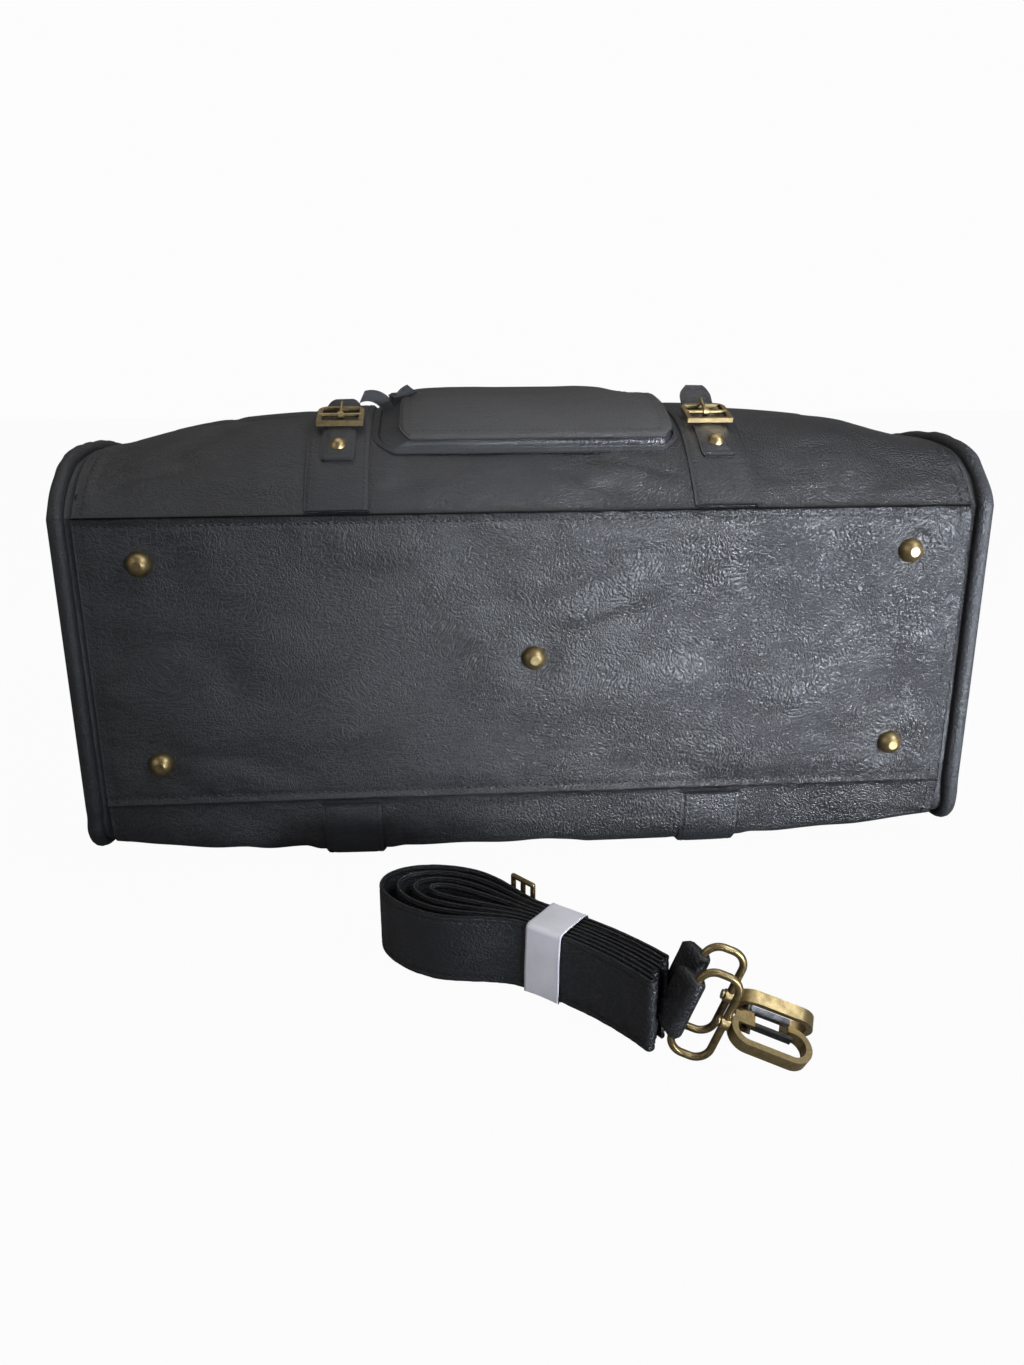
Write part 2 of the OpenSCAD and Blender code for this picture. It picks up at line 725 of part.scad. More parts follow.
module pocket_gusset() {
    function at_low(x, y) = [x, base_y + y, z_at(x, y) + 0.7];
    function at_high(x, y) = [x, base_y + y, pocket_z(x, y) - pocket_skin - gap];
    function wall(d) =
        let (ys = steps(pocket_y1 - 0.5, pocket_y0 + d, 8), h = pocket_half(pocket_y0 + d) - d)
        concat([for (y = ys) let (x = -(pocket_half(y) - d)) [at_low(x, y), at_high(x, y)]],
            [for (x = [-0.6 * h, -0.2 * h, 0.2 * h, 0.6 * h])
                [at_low(x, pocket_y0 + d), at_high(x, pocket_y0 + d)]],
            [for (i = [len(ys) - 1:-1:0]) let (y = ys[i], x = pocket_half(y) - d)
                [at_low(x, y), at_high(x, y)]]);
    color(leather) slab(wall(0.5), wall(0.5 + pocket_skin));
}

slit = 5;
pocket_tape_h = 1.6;
mouth_y = pocket_y1 - 2;
slit_top = pocket_z(0, pocket_y1) - pocket_skin - 2 * gap - pocket_tape_h;
slit_low = slit_top - slit;
mouth_half = pocket_w / 2 - pocket_skin - 1;
module pocket_zip_tapes() {
    function edge(x, y, low) = low
        ? [[x, base_y + y, z_at(x, y) + gap], [x, base_y + y, slit_low]]
        : [[x, base_y + y, slit_top], [x, base_y + y, slit_top + pocket_tape_h - 0.5]];
    color(black_tape) for (low = [true, false]) {
        xs = steps(-mouth_half, mouth_half, 6);
        slab([for (x = xs) edge(x, mouth_y, low)], [for (x = xs) edge(x, mouth_y + tape_t, low)]);
    }
}

// Free ends of the pocket's zip tape, forking out past its side
tail_y = 90;
module pocket_tape_tails() {
    color(black_tape)
        translate([-pocket_w / 2 - 0.4, base_y + tail_y, z_at(strap_x, tail_y) + strap_rise + 1])
            for (lean = [-24, -2]) rotate([0, lean, 0]) translate([-0.6, lean * 0.35 - 4, 0])
                cube([1, 8, 25]);
}

pocket_slider_x = mouth_half - 9;
module pocket_slider() {
    z0 = slit_low - 1.5;
    tall = slit + 3;
    color(brass) {
        for (y = [mouth_y + tape_t + gap, mouth_y - gap - plate_t])
            translate([pocket_slider_x - 5, base_y + y, z0]) cube([10, plate_t, tall]);
        translate([pocket_slider_x - 2.5, base_y + mouth_y - gap - plate_t / 2, slit_low + gap])
            cube([5, tape_t + 2 * gap + plate_t, slit - 2 * gap]);
    }
}

// Skin of an end panel, moved out by lift
end_face = rim_x + 0.4 + skin;
function end_at(y, z, lift) = [end_face + crown(base_y + y, z) + lift, base_y + y, z];

// Slip pocket on an end: its border lies on the panel on three sides and its mouth stands open
module end_pocket() {
    h = end_pocket_w / 2;
    zs = [-h, -h + 5, -0.5 * h, 0, 0.5 * h, h - 5, h];
    ys = concat([end_pocket_y0], steps(end_pocket_y0 + 5, end_pocket_y1, 6));
    function lift(i, j) = (i == 0 || j == 0 || j == len(zs) - 1) ? gap : gap + end_pocket_room;
    slab([for (i = [0:len(ys) - 1])
            [for (j = [0:len(zs) - 1]) end_at(ys[i], zs[j], lift(i, j) + pocket_skin)]],
        [for (i = [0:len(ys) - 1]) [for (j = [0:len(zs) - 1]) end_at(ys[i], zs[j], lift(i, j))]]);
}

module end_pocket_right() {
    color(leather) end_pocket();
}

module end_pocket_left() {
    color(leather) left_end() end_pocket();
}

// Leather tab on each end with a loop that holds the D-ring
dee_y = 256;
dee_wire = ring_wire;
dee_tab_w = dee_w - 4;
dee_loop_r = dee_wire / 2 + run_fit + 1.6;
dee_x = end_at(dee_y, 0, gap + dee_loop_r)[0];
module dee_tab() {
    ys = steps(end_pocket_y1 + 8, dee_y - dee_loop_r - gap, 5);
    zs = [-dee_tab_w / 2, 0, dee_tab_w / 2];
    slab([for (y = ys) [for (z = zs) end_at(y, z, gap + strap_t)]],
        [for (y = ys) [for (z = zs) end_at(y, z, gap)]]);
    translate([dee_x, base_y + dee_y, 0]) difference() {
        cylinder(r = dee_loop_r, h = dee_tab_w, center = true);
        cylinder(r = dee_wire / 2 + run_fit, h = dee_w, center = true);
    }
}

module dee_tabs() {
    color(leather) {
        dee_tab();
        left_end() dee_tab();
    }
}

// D-ring: straight bar in the loop, half circle standing away from it
module dee_ring() {
    r = dee_wire / 2;
    half = dee_w / 2 + r;
    translate([dee_x, base_y + dee_y, 0]) {
        cylinder(r = r, h = 2 * half, center = true);
        for (z = [-half, half]) {
            translate([0, 0, z]) sphere(r);
            translate([0, 0, z]) rotate([-90, 0, 0]) cylinder(r = r, h = 5);
        }
        translate([0, 5, 0]) rotate([0, -90, 0]) rotate_extrude(angle = 180)
            translate([half, 0]) circle(r);
    }
}

module dee_ring_right() {
    color(brass) dee_ring();
}

module dee_ring_left() {
    color(brass) left_end() dee_ring();
}

// Shoulder strap: folded into eight layers and lying on its edge. lay(t, n) is the place on the
// floor at t along the bundle and n across it, and layers count from the back.
lay_from = [-87, -72];
lay_band = [-5, -120];
lay_to = [43, -173];
lay_bend = 2 * lay_band - (lay_from + lay_to) / 2;
function lay_mid(t) =
    (1 - t) * (1 - t) * lay_from + 2 * t * (1 - t) * lay_bend + t * t * lay_to;
function lay_dir(t) =
    let (d = (1 - t) * (lay_bend - lay_from) + t * (lay_to - lay_bend)) d / norm(d);
function lay(t, n) = lay_mid(t) + n * [-lay_dir(t)[1], lay_dir(t)[0]];
loop_first = 5.2;
loop_step = 6.2;
loop_t = 0.2;
function pressed(i) = (4.5 - i) * layer_pitch;
function spread(i) = sign(4.5 - i) * (loop_first + loop_step * (abs(4.5 - i) - 0.5));
function soft(u) = let (v = min(1, max(0, u))) v * v * (3 - 2 * v);
function place(i, t) = pressed(i) + (spread(i) - pressed(i)) * soft((0.46 - t) / 0.26);
out_ts = [0.9, 0.8, 0.7, 0.6, 0.53, 0.46, 0.4, 0.34, 0.27];
function layer(i, end, back) =
    let (ts = concat([end], [for (t = out_ts) if (t < end) t]), n = len(ts))
    [for (k = [0:n - 1]) let (t = ts[back ? k : n - 1 - k]) lay(t, place(i, t))];
// Loop at the left from layer i to the layer across from it
function left_loop(i) =
    let (w = spread(i)) [for (a = [0:18:180]) lay(loop_t - (0.02 + 0.0068 * abs(w)) * sin(a), w * cos(a))];
// Tight fold at the right between layers i and j
function right_fold(i, j, end) =
    let (m = (pressed(i) + pressed(j)) / 2, r = (pressed(i) - pressed(j)) / 2)
    [for (a = [30:30:150]) lay(end + 0.012 * sin(a), m + r * cos(a))];
fold_87 = 0.97;
fold_65 = 0.93;
fold_23 = 0.9;
end_1 = 0.9;
end_4 = 0.955;
sling_path = concat(layer(1, end_1, true), left_loop(1), layer(8, fold_87, false),
    right_fold(8, 7, fold_87), layer(7, fold_87, true), left_loop(7), layer(2, fold_23, false),
    right_fold(2, 3, fold_23), layer(3, fold_23, true), left_loop(3), layer(6, fold_65, false),
    right_fold(6, 5, fold_65), layer(5, fold_65, true), left_loop(5), layer(4, end_4, false));
function path_normal(p, i) =
    let (a = p[max(0, i - 1)], b = p[min(len(p) - 1, i + 1)], d = (b - a) / norm(b - a))
    [-d[1], d[0]];
sling_low = ground_z + 0.8;
module shoulder_strap() {
    n = len(sling_path);
    side = [for (i = [0:n - 1]) sling_path[i] + path_normal(sling_path, i) * sling_t / 2];
    other = [for (i = [n - 1:-1:0]) sling_path[i] - path_normal(sling_path, i) * sling_t / 2];
    color(leather) translate([0, 0, sling_low]) linear_extrude(sling_w) polygon(concat(side, other));
}

// Paper band wrapped round the pressed layers
paper_t = 0.4;
band_t = 0.53;
module paper_band() {
    inside = 8 * layer_pitch + 1.6;
    low = sling_low - ground_z - gap - paper_t;
    tall = sling_w + 2 * gap;
    color(paper) translate([lay_mid(band_t)[0], lay_mid(band_t)[1], ground_z + low])
        rotate([0, 0, atan2(lay_dir(band_t)[1], lay_dir(band_t)[0])])
            translate([-band_w / 2, 0, 0]) difference() {
                translate([0, -inside / 2 - paper_t, 0])
                    cube([band_w, inside + 2 * paper_t, tall + 2 * paper_t]);
                translate([-1, -inside / 2, paper_t]) cube([band_w + 2, inside, tall]);
            }
}

// Length adjuster: a wire frame with a centre bar, standing against the strap's back
adjuster_t = 0.36;
adjuster_wire = 2.6;
module strap_adjuster() {
    r = adjuster_wire / 2;
    tall = sling_w + 3;
    spot = lay(adjuster_t, place(1, adjuster_t) + sling_t / 2 + r + 1.6);
    color(brass) translate([spot[0], spot[1], ground_z + r + gap])
        rotate([0, 0, atan2(lay_dir(adjuster_t)[1], lay_dir(adjuster_t)[0]) - 18]) {
            for (x = [-7, 0, 7]) translate([x, 0, 0]) cylinder(r = r, h = tall);
            for (z = [0, tall]) {
                translate([0, 0, z]) rotate([0, 90, 0]) cylinder(r = r, h = 14, center = true);
                for (x = [-7, 7]) translate([x, 0, z]) sphere(r);
            }
        }
}

// Each strap end is folded round the inner bar of an oval ring. The ring stands leaning, and the
// hook's post turns in a sleeve on its outer bar. Local X points along the hook, Z along the bar.
ring_lean = 20;
bar_a = [47, -181.1, 26.2];
bar_b = [52, -168.5, 30.2];
azimuth_a = -12;
azimuth_b = -11;
roll_a = 18;
roll_b = 60;
lay_angle = atan2(lay_dir(1)[1], lay_dir(1)[0]);
module end_a() {
    translate([bar_a[0], bar_a[1], ground_z + bar_a[2]]) rotate([0, ring_lean, azimuth_a]) children();
}

module end_b() {
    translate([bar_b[0], bar_b[1], ground_z + bar_b[2]]) rotate([0, ring_lean, azimuth_b]) children();
}

oval_r = oval_wire / 2;
oval_corner = 7;
oval_x = oval_w - oval_wire;
oval_z = (oval_h - oval_wire) / 2;
post_r = 1.2;
sleeve_l = 4;
fold_skin = 1.6;
module strap_end(tab_angle) {
    sleeve_z = 2 * (oval_z - oval_corner) - 2;
    difference() {
        union() {
            cylinder(r = oval_r + run_fit + fold_skin, h = sleeve_z, center = true);
            rotate([0, 0, tab_angle]) translate([-9, -2.2, -sleeve_z / 2]) cube([6.6, 4.4, sleeve_z]);
        }
        cylinder(r = oval_r + run_fit, h = oval_h, center = true);
    }
}

module strap_ends() {
    color(leather) {
        end_a() strap_end(lay_angle - azimuth_a);
        end_b() strap_end(lay_angle - azimuth_b);
    }
}

module oval_ring() {
    difference() {
        union() {
            for (x = [0, oval_x]) translate([x, 0, 0])
                cylinder(r = oval_r, h = 2 * (oval_z - oval_corner), center = true);
            for (z = [-oval_z, oval_z]) translate([oval_x / 2, 0, z]) rotate([0, 90, 0])
                cylinder(r = oval_r, h = oval_x - 2 * oval_corner, center = true);
            for (corner = [[oval_x - oval_corner, 1, 0], [oval_corner, 1, 90],
                    [oval_corner, -1, 180], [oval_x - oval_corner, -1, 270]])
                translate([corner[0], 0, corner[1] * (oval_z - oval_corner)]) rotate([90, 0, 0])
                    rotate([0, 0, corner[2]]) rotate_extrude(angle = 90)
                        translate([oval_corner, 0]) circle(oval_r);
            translate([oval_x, 0, 0]) rotate([0, 90, 0])
                cylinder(r = post_r + 1.6, h = sleeve_l, center = true);
        }
        translate([oval_x, 0, 0]) rotate([0, 90, 0])
            cylinder(r = post_r + run_fit, h = oval_w, center = true);
    }
}

module oval_ring_a() {
    color(brass) end_a() oval_ring();
}

module oval_ring_b() {
    color(brass) end_b() oval_ring();
}

// Snap hook: a flat strip bent to a long loop with one side open, cheeks at its base that carry
// the gate's pin, and the headed post
gate_from = 9.5;
gate_to = 25;
gate_t = 1.8;
gate_deep = 3.4;
pin_r = 0.8;
hook_x = oval_x + sleeve_l / 2 + gap;
gate_eye = gate_t / 2 + 0.5;
gate_q = hook_w / 2 - hook_t - gap - gate_eye;
pin_p = 8.7;
module stadium(l, w) {
    for (p = [w / 2, l - w / 2]) translate([p, 0]) circle(w / 2);
    translate([w / 2, -w / 2]) square([l - w, w]);
}

module hook() {
    head_r = 2.1;
    translate([hook_x - sleeve_l - 2 * gap - 0.9, 0, 0]) rotate([0, 90, 0]) {
        cylinder(r = head_r, h = 0.9);
        cylinder(r = post_r, h = sleeve_l + 2 * gap + 0.9 + hook_t);
    }
    translate([hook_x, 0, -hook_deep / 2]) linear_extrude(hook_deep) difference() {
        stadium(hook_l, hook_w);
        translate([hook_t, 0]) stadium(hook_l - 2 * hook_t, hook_w - 2 * hook_t);
        translate([gate_from, 0]) square([gate_to - gate_from, hook_w]);
    }
    for (z = [-hook_deep / 2, hook_deep / 2 - 0.9]) translate([hook_x + 1.4, gate_q - 2.5, z])
        cube([pin_p, 5.5, 0.9]);
    translate([hook_x + pin_p, gate_q, 0]) cylinder(r = pin_r, h = hook_deep, center = true);
}

module gate() {
    difference() {
        union() {
            translate([hook_x + pin_p, gate_q, 0]) cylinder(r = gate_eye, h = gate_deep, center = true);
            translate([hook_x + pin_p, gate_q - gate_t / 2, -gate_deep / 2])
                cube([gate_to + 2.5 - pin_p, gate_t, gate_deep]);
        }
        translate([hook_x + pin_p, gate_q, 0]) cylinder(r = pin_r + run_fit, h = hook_deep, center = true);
    }
}

module hook_a() {
    color(brass) end_a() rotate([roll_a, 0, 0]) hook();
}

module hook_b() {
    color(brass) end_b() rotate([-roll_b, 0, 0]) hook();
}

module gate_a() {
    color(leather_edge) end_a() rotate([roll_a, 0, 0]) gate();
}

module gate_b() {
    color(leather_edge) end_b() rotate([-roll_b, 0, 0]) gate();
}

base_panel();
base_board();
feet();
foot_washers();
front_panel();
back_panel();
end_panel_left();
end_panel_right();
piping_left();
piping_right();
lining();
lining_ends();
top_end_left();
top_end_right();
zip_tab_left();
zip_tab_right();
zip_end_tapes();
lip_front();
lip_back();
zip_tape_front();
zip_tape_back();
zip_slider();
zip_puller();
strap_front_left();
strap_front_right();
strap_back_left();
strap_back_right();
buckle_tab_left();
buckle_tab_right();
buckle_left();
buckle_right();
prong_left();
prong_right();
tab_rivets();
pocket_face();
pocket_gusset();
pocket_zip_tapes();
pocket_tape_tails();
pocket_slider();
ring_loops_front();
ring_loops_back();
handle_rings_front();
handle_rings_back();
handle_front();
handle_back();
end_pocket_left();
end_pocket_right();
dee_tabs();
dee_ring_left();
dee_ring_right();
shoulder_strap();
paper_band();
strap_adjuster();
strap_ends();
oval_ring_a();
oval_ring_b();
hook_a();
hook_b();
gate_a();
gate_b();
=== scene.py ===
import math
import bpy
import numpy as np
from mathutils import Matrix, Vector


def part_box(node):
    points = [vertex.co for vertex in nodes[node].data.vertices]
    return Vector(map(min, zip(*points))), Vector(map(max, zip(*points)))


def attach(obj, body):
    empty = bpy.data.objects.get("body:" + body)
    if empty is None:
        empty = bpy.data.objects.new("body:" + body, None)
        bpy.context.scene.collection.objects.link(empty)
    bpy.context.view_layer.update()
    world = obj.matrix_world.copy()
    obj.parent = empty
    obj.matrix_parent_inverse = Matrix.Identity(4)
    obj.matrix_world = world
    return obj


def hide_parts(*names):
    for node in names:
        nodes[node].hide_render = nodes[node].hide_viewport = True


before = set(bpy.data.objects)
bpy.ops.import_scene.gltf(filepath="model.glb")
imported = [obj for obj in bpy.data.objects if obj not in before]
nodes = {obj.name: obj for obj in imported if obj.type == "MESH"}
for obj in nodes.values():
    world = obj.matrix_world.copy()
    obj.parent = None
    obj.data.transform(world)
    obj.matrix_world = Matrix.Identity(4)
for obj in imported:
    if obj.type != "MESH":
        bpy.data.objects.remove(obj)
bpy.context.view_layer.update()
GROUND = -125.7

# --- Front and back panels ---
# Two big panels of crackled faux leather, sewn to the base along its long seams and to the end
# panels through the piping. Stuffed, they bulge, sag in soft waves and crease near the seams.
# Lengths in the shape functions are in millimetres, as on the drawing.


def fade(x):
    return 1 - np.minimum(1, np.abs(x) / 265) ** 4


def section(x, front, s):
    """Outline of the bag at x: 0 at the base seam, 1 at the fullest line, 2 at the top fold."""
    crest = 45 + 65 * fade(x)
    b = 103.5 + ((48 if front else 42.3) - 22) * fade(x)
    y0 = crest if front else 1.35 * crest
    run = 270 - y0
    t = np.clip(s, 0, 1)
    k = [(1 - t) ** 3, 3 * (1 - t) ** 2 * t, 3 * (1 - t) * t * t, t ** 3]
    if front:
        low = [(0, 81.5), (0.25 * crest, 81.5 + 0.75 * (b - 81.5)), (0.6 * crest, b), (y0, b)]
    else:
        low = [(0, 81.5), (0, b), (0.02 * crest, b), (0.6 * crest, b)]
        flat = np.clip((t - 0.6) / 0.4, 0, 1)
        t = np.minimum(1, t / 0.6)
        k = [(1 - t) ** 3, 3 * (1 - t) ** 2 * t, 3 * (1 - t) * t * t, t ** 3]
    y = sum(w * q[0] for w, q in zip(k, low))
    z = sum(w * q[1] for w, q in zip(k, low))
    if not front:
        y = y + 0.75 * flat * crest
    t = np.clip(s - 1, 0, 1)
    k = [(1 - t) ** 3, 3 * (1 - t) ** 2 * t, 3 * (1 - t) * t * t, t ** 3]
    high = [(y0, b), (y0 + (0.45 if front else 0.55) * run, b),
            (270 - 0.32 * run, 65 + 0.35 * (b - 65)), (270, 65)]
    up = s > 1
    y = np.where(up, sum(w * q[0] for w, q in zip(k, high)), y)
    z = np.where(up, sum(w * q[1] for w, q in zip(k, high)), z)
    return y, z


def skin_at(x, front, s, lift=0.0):
    """Points of the bag's skin, moved out by lift; the back is the mirror image in Z."""
    x, s, lift = np.broadcast_arrays(np.asarray(x, float), np.asarray(s, float), np.asarray(lift, float))
    y, z = section(x, front, s)
    e = 0.01
    ya, za = section(x, front, np.maximum(0, s - e))
    yb, zb = section(x, front, np.minimum(2, s + e))
    ny, nz = -(zb - za), yb - ya
    n = np.hypot(ny, nz)
    y, z = y + ny / n * lift, z + nz / n * lift
    return np.stack([x, 6 + y, z if front else -z], -1)


def s_at(x, front, y):
    """Place on the outline at height y above the base."""
    x, y = np.broadcast_arrays(np.asarray(x, float), np.asarray(y, float))
    lo, hi = np.zeros(x.shape), np.full(x.shape, 2.0)
    for _ in range(18):
        m = (lo + hi) / 2
        under = section(x, front, m)[0] < y
        lo, hi = np.where(under, m, lo), np.where(under, hi, m)
    return (lo + hi) / 2


def z_at(x, y):
    return section(x, True, s_at(x, True, y))[1]


lattice = np.random.RandomState(7).uniform(-1, 1, (32, 32, 32))


def lumps(p, size, shift=0.0):
    """Smooth noise from -1 to 1 with lumps of about that size, for points in millimetres."""
    q = np.asarray(p) / size + shift
    i = np.floor(q).astype(int)
    f = q - i
    f = f * f * (3 - 2 * f)
    out = 0
    for dx in (0, 1):
        for dy in (0, 1):
            for dz in (0, 1):
                w = np.abs(1 - dx - f[..., 0]) * np.abs(1 - dy - f[..., 1]) * np.abs(1 - dz - f[..., 2])
                out = out + w * lattice[(i[..., 0] + dx) % 32, (i[..., 1] + dy) % 32, (i[..., 2] + dz) % 32]
    return out


def step(a, b, v):
    t = np.clip((np.asarray(v, float) - a) / (b - a), 0, 1)
    return t * t * (3 - 2 * t)


def build(name, points, faces, material, body, slot, replaces=()):
    """Mesh piece from points in millimetres, smooth, riding on its body."""
    mesh = bpy.data.meshes.new(name)
    mesh.from_pydata((np.asarray(points, float) * 0.001).tolist(), [], faces)
    mesh.validate()
    mesh.update()
    obj = bpy.data.objects.new(name, mesh)
    bpy.context.scene.collection.objects.link(obj)
    mesh.shade_smooth()
    mesh.materials.append(material)
    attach(obj, body)
    if replaces:
        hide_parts(*replaces)
    return obj


def joined(*parts):
    """Several (points, faces) pairs as one."""
    points, faces, base = [], [], 0
    for p, f in parts:
        p = np.asarray(p, float).reshape(-1, 3)
        points.append(p)
        faces += [[v + base for v in face] for face in f]
        base += len(p)
    return np.concatenate(points), faces


def mirrored(part, axis):
    """The (points, faces) pair mirrored along an axis."""
    p = np.asarray(part[0], float).reshape(-1, 3).copy()
    p[:, axis] *= -1
    return p, [f[::-1] for f in part[1]]


def grid_faces(rows, cols, wrap=False):
    last = cols if wrap else cols - 1
    return [[r * cols + c, r * cols + (c + 1) % cols, (r + 1) * cols + (c + 1) % cols, (r + 1) * cols + c]
            for r in range(rows - 1) for c in range(last)]


def shell(outer, inner):
    """Closed sheet between two grids of points, with its four edges."""
    rows, cols = outer.shape[:2]
    half = rows * cols
    faces = [f[::-1] for f in grid_faces(rows, cols)]
    faces += [[v + half for v in f] for f in grid_faces(rows, cols)]
    rim = ([r * cols for r in range(rows)] + [(rows - 1) * cols + c for c in range(1, cols)]
           + [r * cols + cols - 1 for r in range(rows - 2, -1, -1)] + [c for c in range(cols - 2, 0, -1)])
    for a, b in zip(rim, rim[1:] + rim[:1]):
        faces.append([a, b, b + half, a + half])
    return np.concatenate([outer.reshape(-1, 3), inner.reshape(-1, 3)]), [f[::-1] for f in faces]


def unit(v):
    return v / np.maximum(1e-9, np.linalg.norm(v, axis=-1, keepdims=True))


def tube(path, radius, up=(0, 0, 1), sides=10, flat=1.0, closed=False):
    """Round or flattened tube along a path; radius and flat may vary along it."""
    path = np.asarray(path, float)
    n = len(path)
    d = unit(np.roll(path, -1, 0) - np.roll(path, 1, 0)) if closed else unit(np.gradient(path, axis=0))
    side = unit(np.cross(d, np.asarray(up, float)))
    lift = np.cross(side, d)
    r = np.broadcast_to(np.asarray(radius, float), (n,))[:, None, None]
    k = np.broadcast_to(np.asarray(flat, float), (n,))[:, None, None]
    a = np.linspace(0, 2 * math.pi, sides, endpoint=False)
    ring = (path[:, None] + r * (np.cos(a)[None, :, None] * side[:, None]
            + k * np.sin(a)[None, :, None] * lift[:, None]))
    points = ring.reshape(-1, 3)
    faces = grid_faces(n, sides, True)
    if closed:
        faces += [[(n - 1) * sides + c, (n - 1) * sides + (c + 1) % sides, (c + 1) % sides, c]
                  for c in range(sides)]
    else:
        faces += [list(range(sides))[::-1], [(n - 1) * sides + c for c in range(sides)]]
    return points, faces


def along(path, gap):
    """Evenly spaced points and directions on a path."""
    path = np.asarray(path, float)
    run = np.concatenate([[0], np.cumsum(np.linalg.norm(np.diff(path, axis=0), axis=1))])
    at = np.arange(gap / 2, run[-1], gap)
    p = np.stack([np.interp(at, run, path[:, i]) for i in range(3)], -1)
    q = np.stack([np.interp(at + 0.4, run, path[:, i]) for i in range(3)], -1)
    return p, unit(q - p + 1e-12)


def stitches(path, normal, pitch=3.4, length=2.5, width=0.75):
    """Row of thread stitches lying on a surface along a path, each a small rounded bar."""
    p, d = along(path, pitch)
    n = normal(p) if callable(normal) else np.broadcast_to(np.asarray(normal, float), p.shape)
    n = unit(n - d * (n * d).sum(-1, keepdims=True))
    side = np.cross(d, n)
    d = unit(d + 0.12 * side)
    profile = [(-0.5, 0.0, -0.3), (-0.36, 0.8, 0.35), (0, 1.0, 0.6), (0.36, 0.8, 0.35), (0.5, 0.0, -0.3)]
    rows = []
    for u, w, h in profile:
        for a in (-1, -0.5, 0.5, 1):
            rows.append(p + d * u * length + side * a * w * width / 2
                        + n * (h * width * (1.0 if abs(a) < 0.8 else 0.15) - 0.1))
    points = np.stack(rows, 1).reshape(-1, 3)
    one = grid_faces(5, 4)
    faces = [[v + 20 * k for v in f] for k in range(len(p)) for f in one]
    return points, faces


def socketed(name, inputs, outputs):
    """Empty node group with its sockets; returns its tree and its two end nodes."""
    tree = bpy.data.node_groups.new(name, "ShaderNodeTree")
    for kind, label, default in inputs:
        s = tree.interface.new_socket(label, in_out="INPUT", socket_type=kind)
        s.default_value = default
    for kind, label in outputs:
        tree.interface.new_socket(label, in_out="OUTPUT", socket_type=kind)
    return tree, tree.nodes.new("NodeGroupInput"), tree.nodes.new("NodeGroupOutput")


def node(tree, kind, links=(), **values):
    """Adds a node, sets its properties and inputs, and links (input, output socket) pairs."""
    n = tree.nodes.new(kind)
    for key, v in values.items():
        if key.startswith("i_"):
            key = key[2:]
            n.inputs[int(key) if key.isdigit() else key.replace("_", " ")].default_value = v
        else:
            setattr(n, key, v)
    for socket, out in links:
        tree.links.new(out, n.inputs[socket])
    return n


def maths(tree, op, a, b=None, clamp=False):
    n = tree.nodes.new("ShaderNodeMath")
    n.operation = op
    n.use_clamp = clamp
    for i, v in enumerate((a, b)):
        if v is None:
            continue
        if isinstance(v, (int, float)):
            n.inputs[i].default_value = v
        else:
            tree.links.new(v, n.inputs[i])
    return n.outputs[0]


def ramp(tree, value, a, b, lo=0.0, hi=1.0):
    n = node(tree, "ShaderNodeMapRange", [("Value", value)], i_From_Min=a, i_From_Max=b, i_To_Min=lo, i_To_Max=hi)
    return n.outputs[0]


def blend_colour(tree, fac, a, b):
    n = tree.nodes.new("ShaderNodeMix")
    n.data_type = "RGBA"
    for i, v in ((0, fac), (6, a), (7, b)):
        if isinstance(v, (int, float, tuple)):
            n.inputs[i].default_value = v
        else:
            tree.links.new(v, n.inputs[i])
    return n.outputs[2]


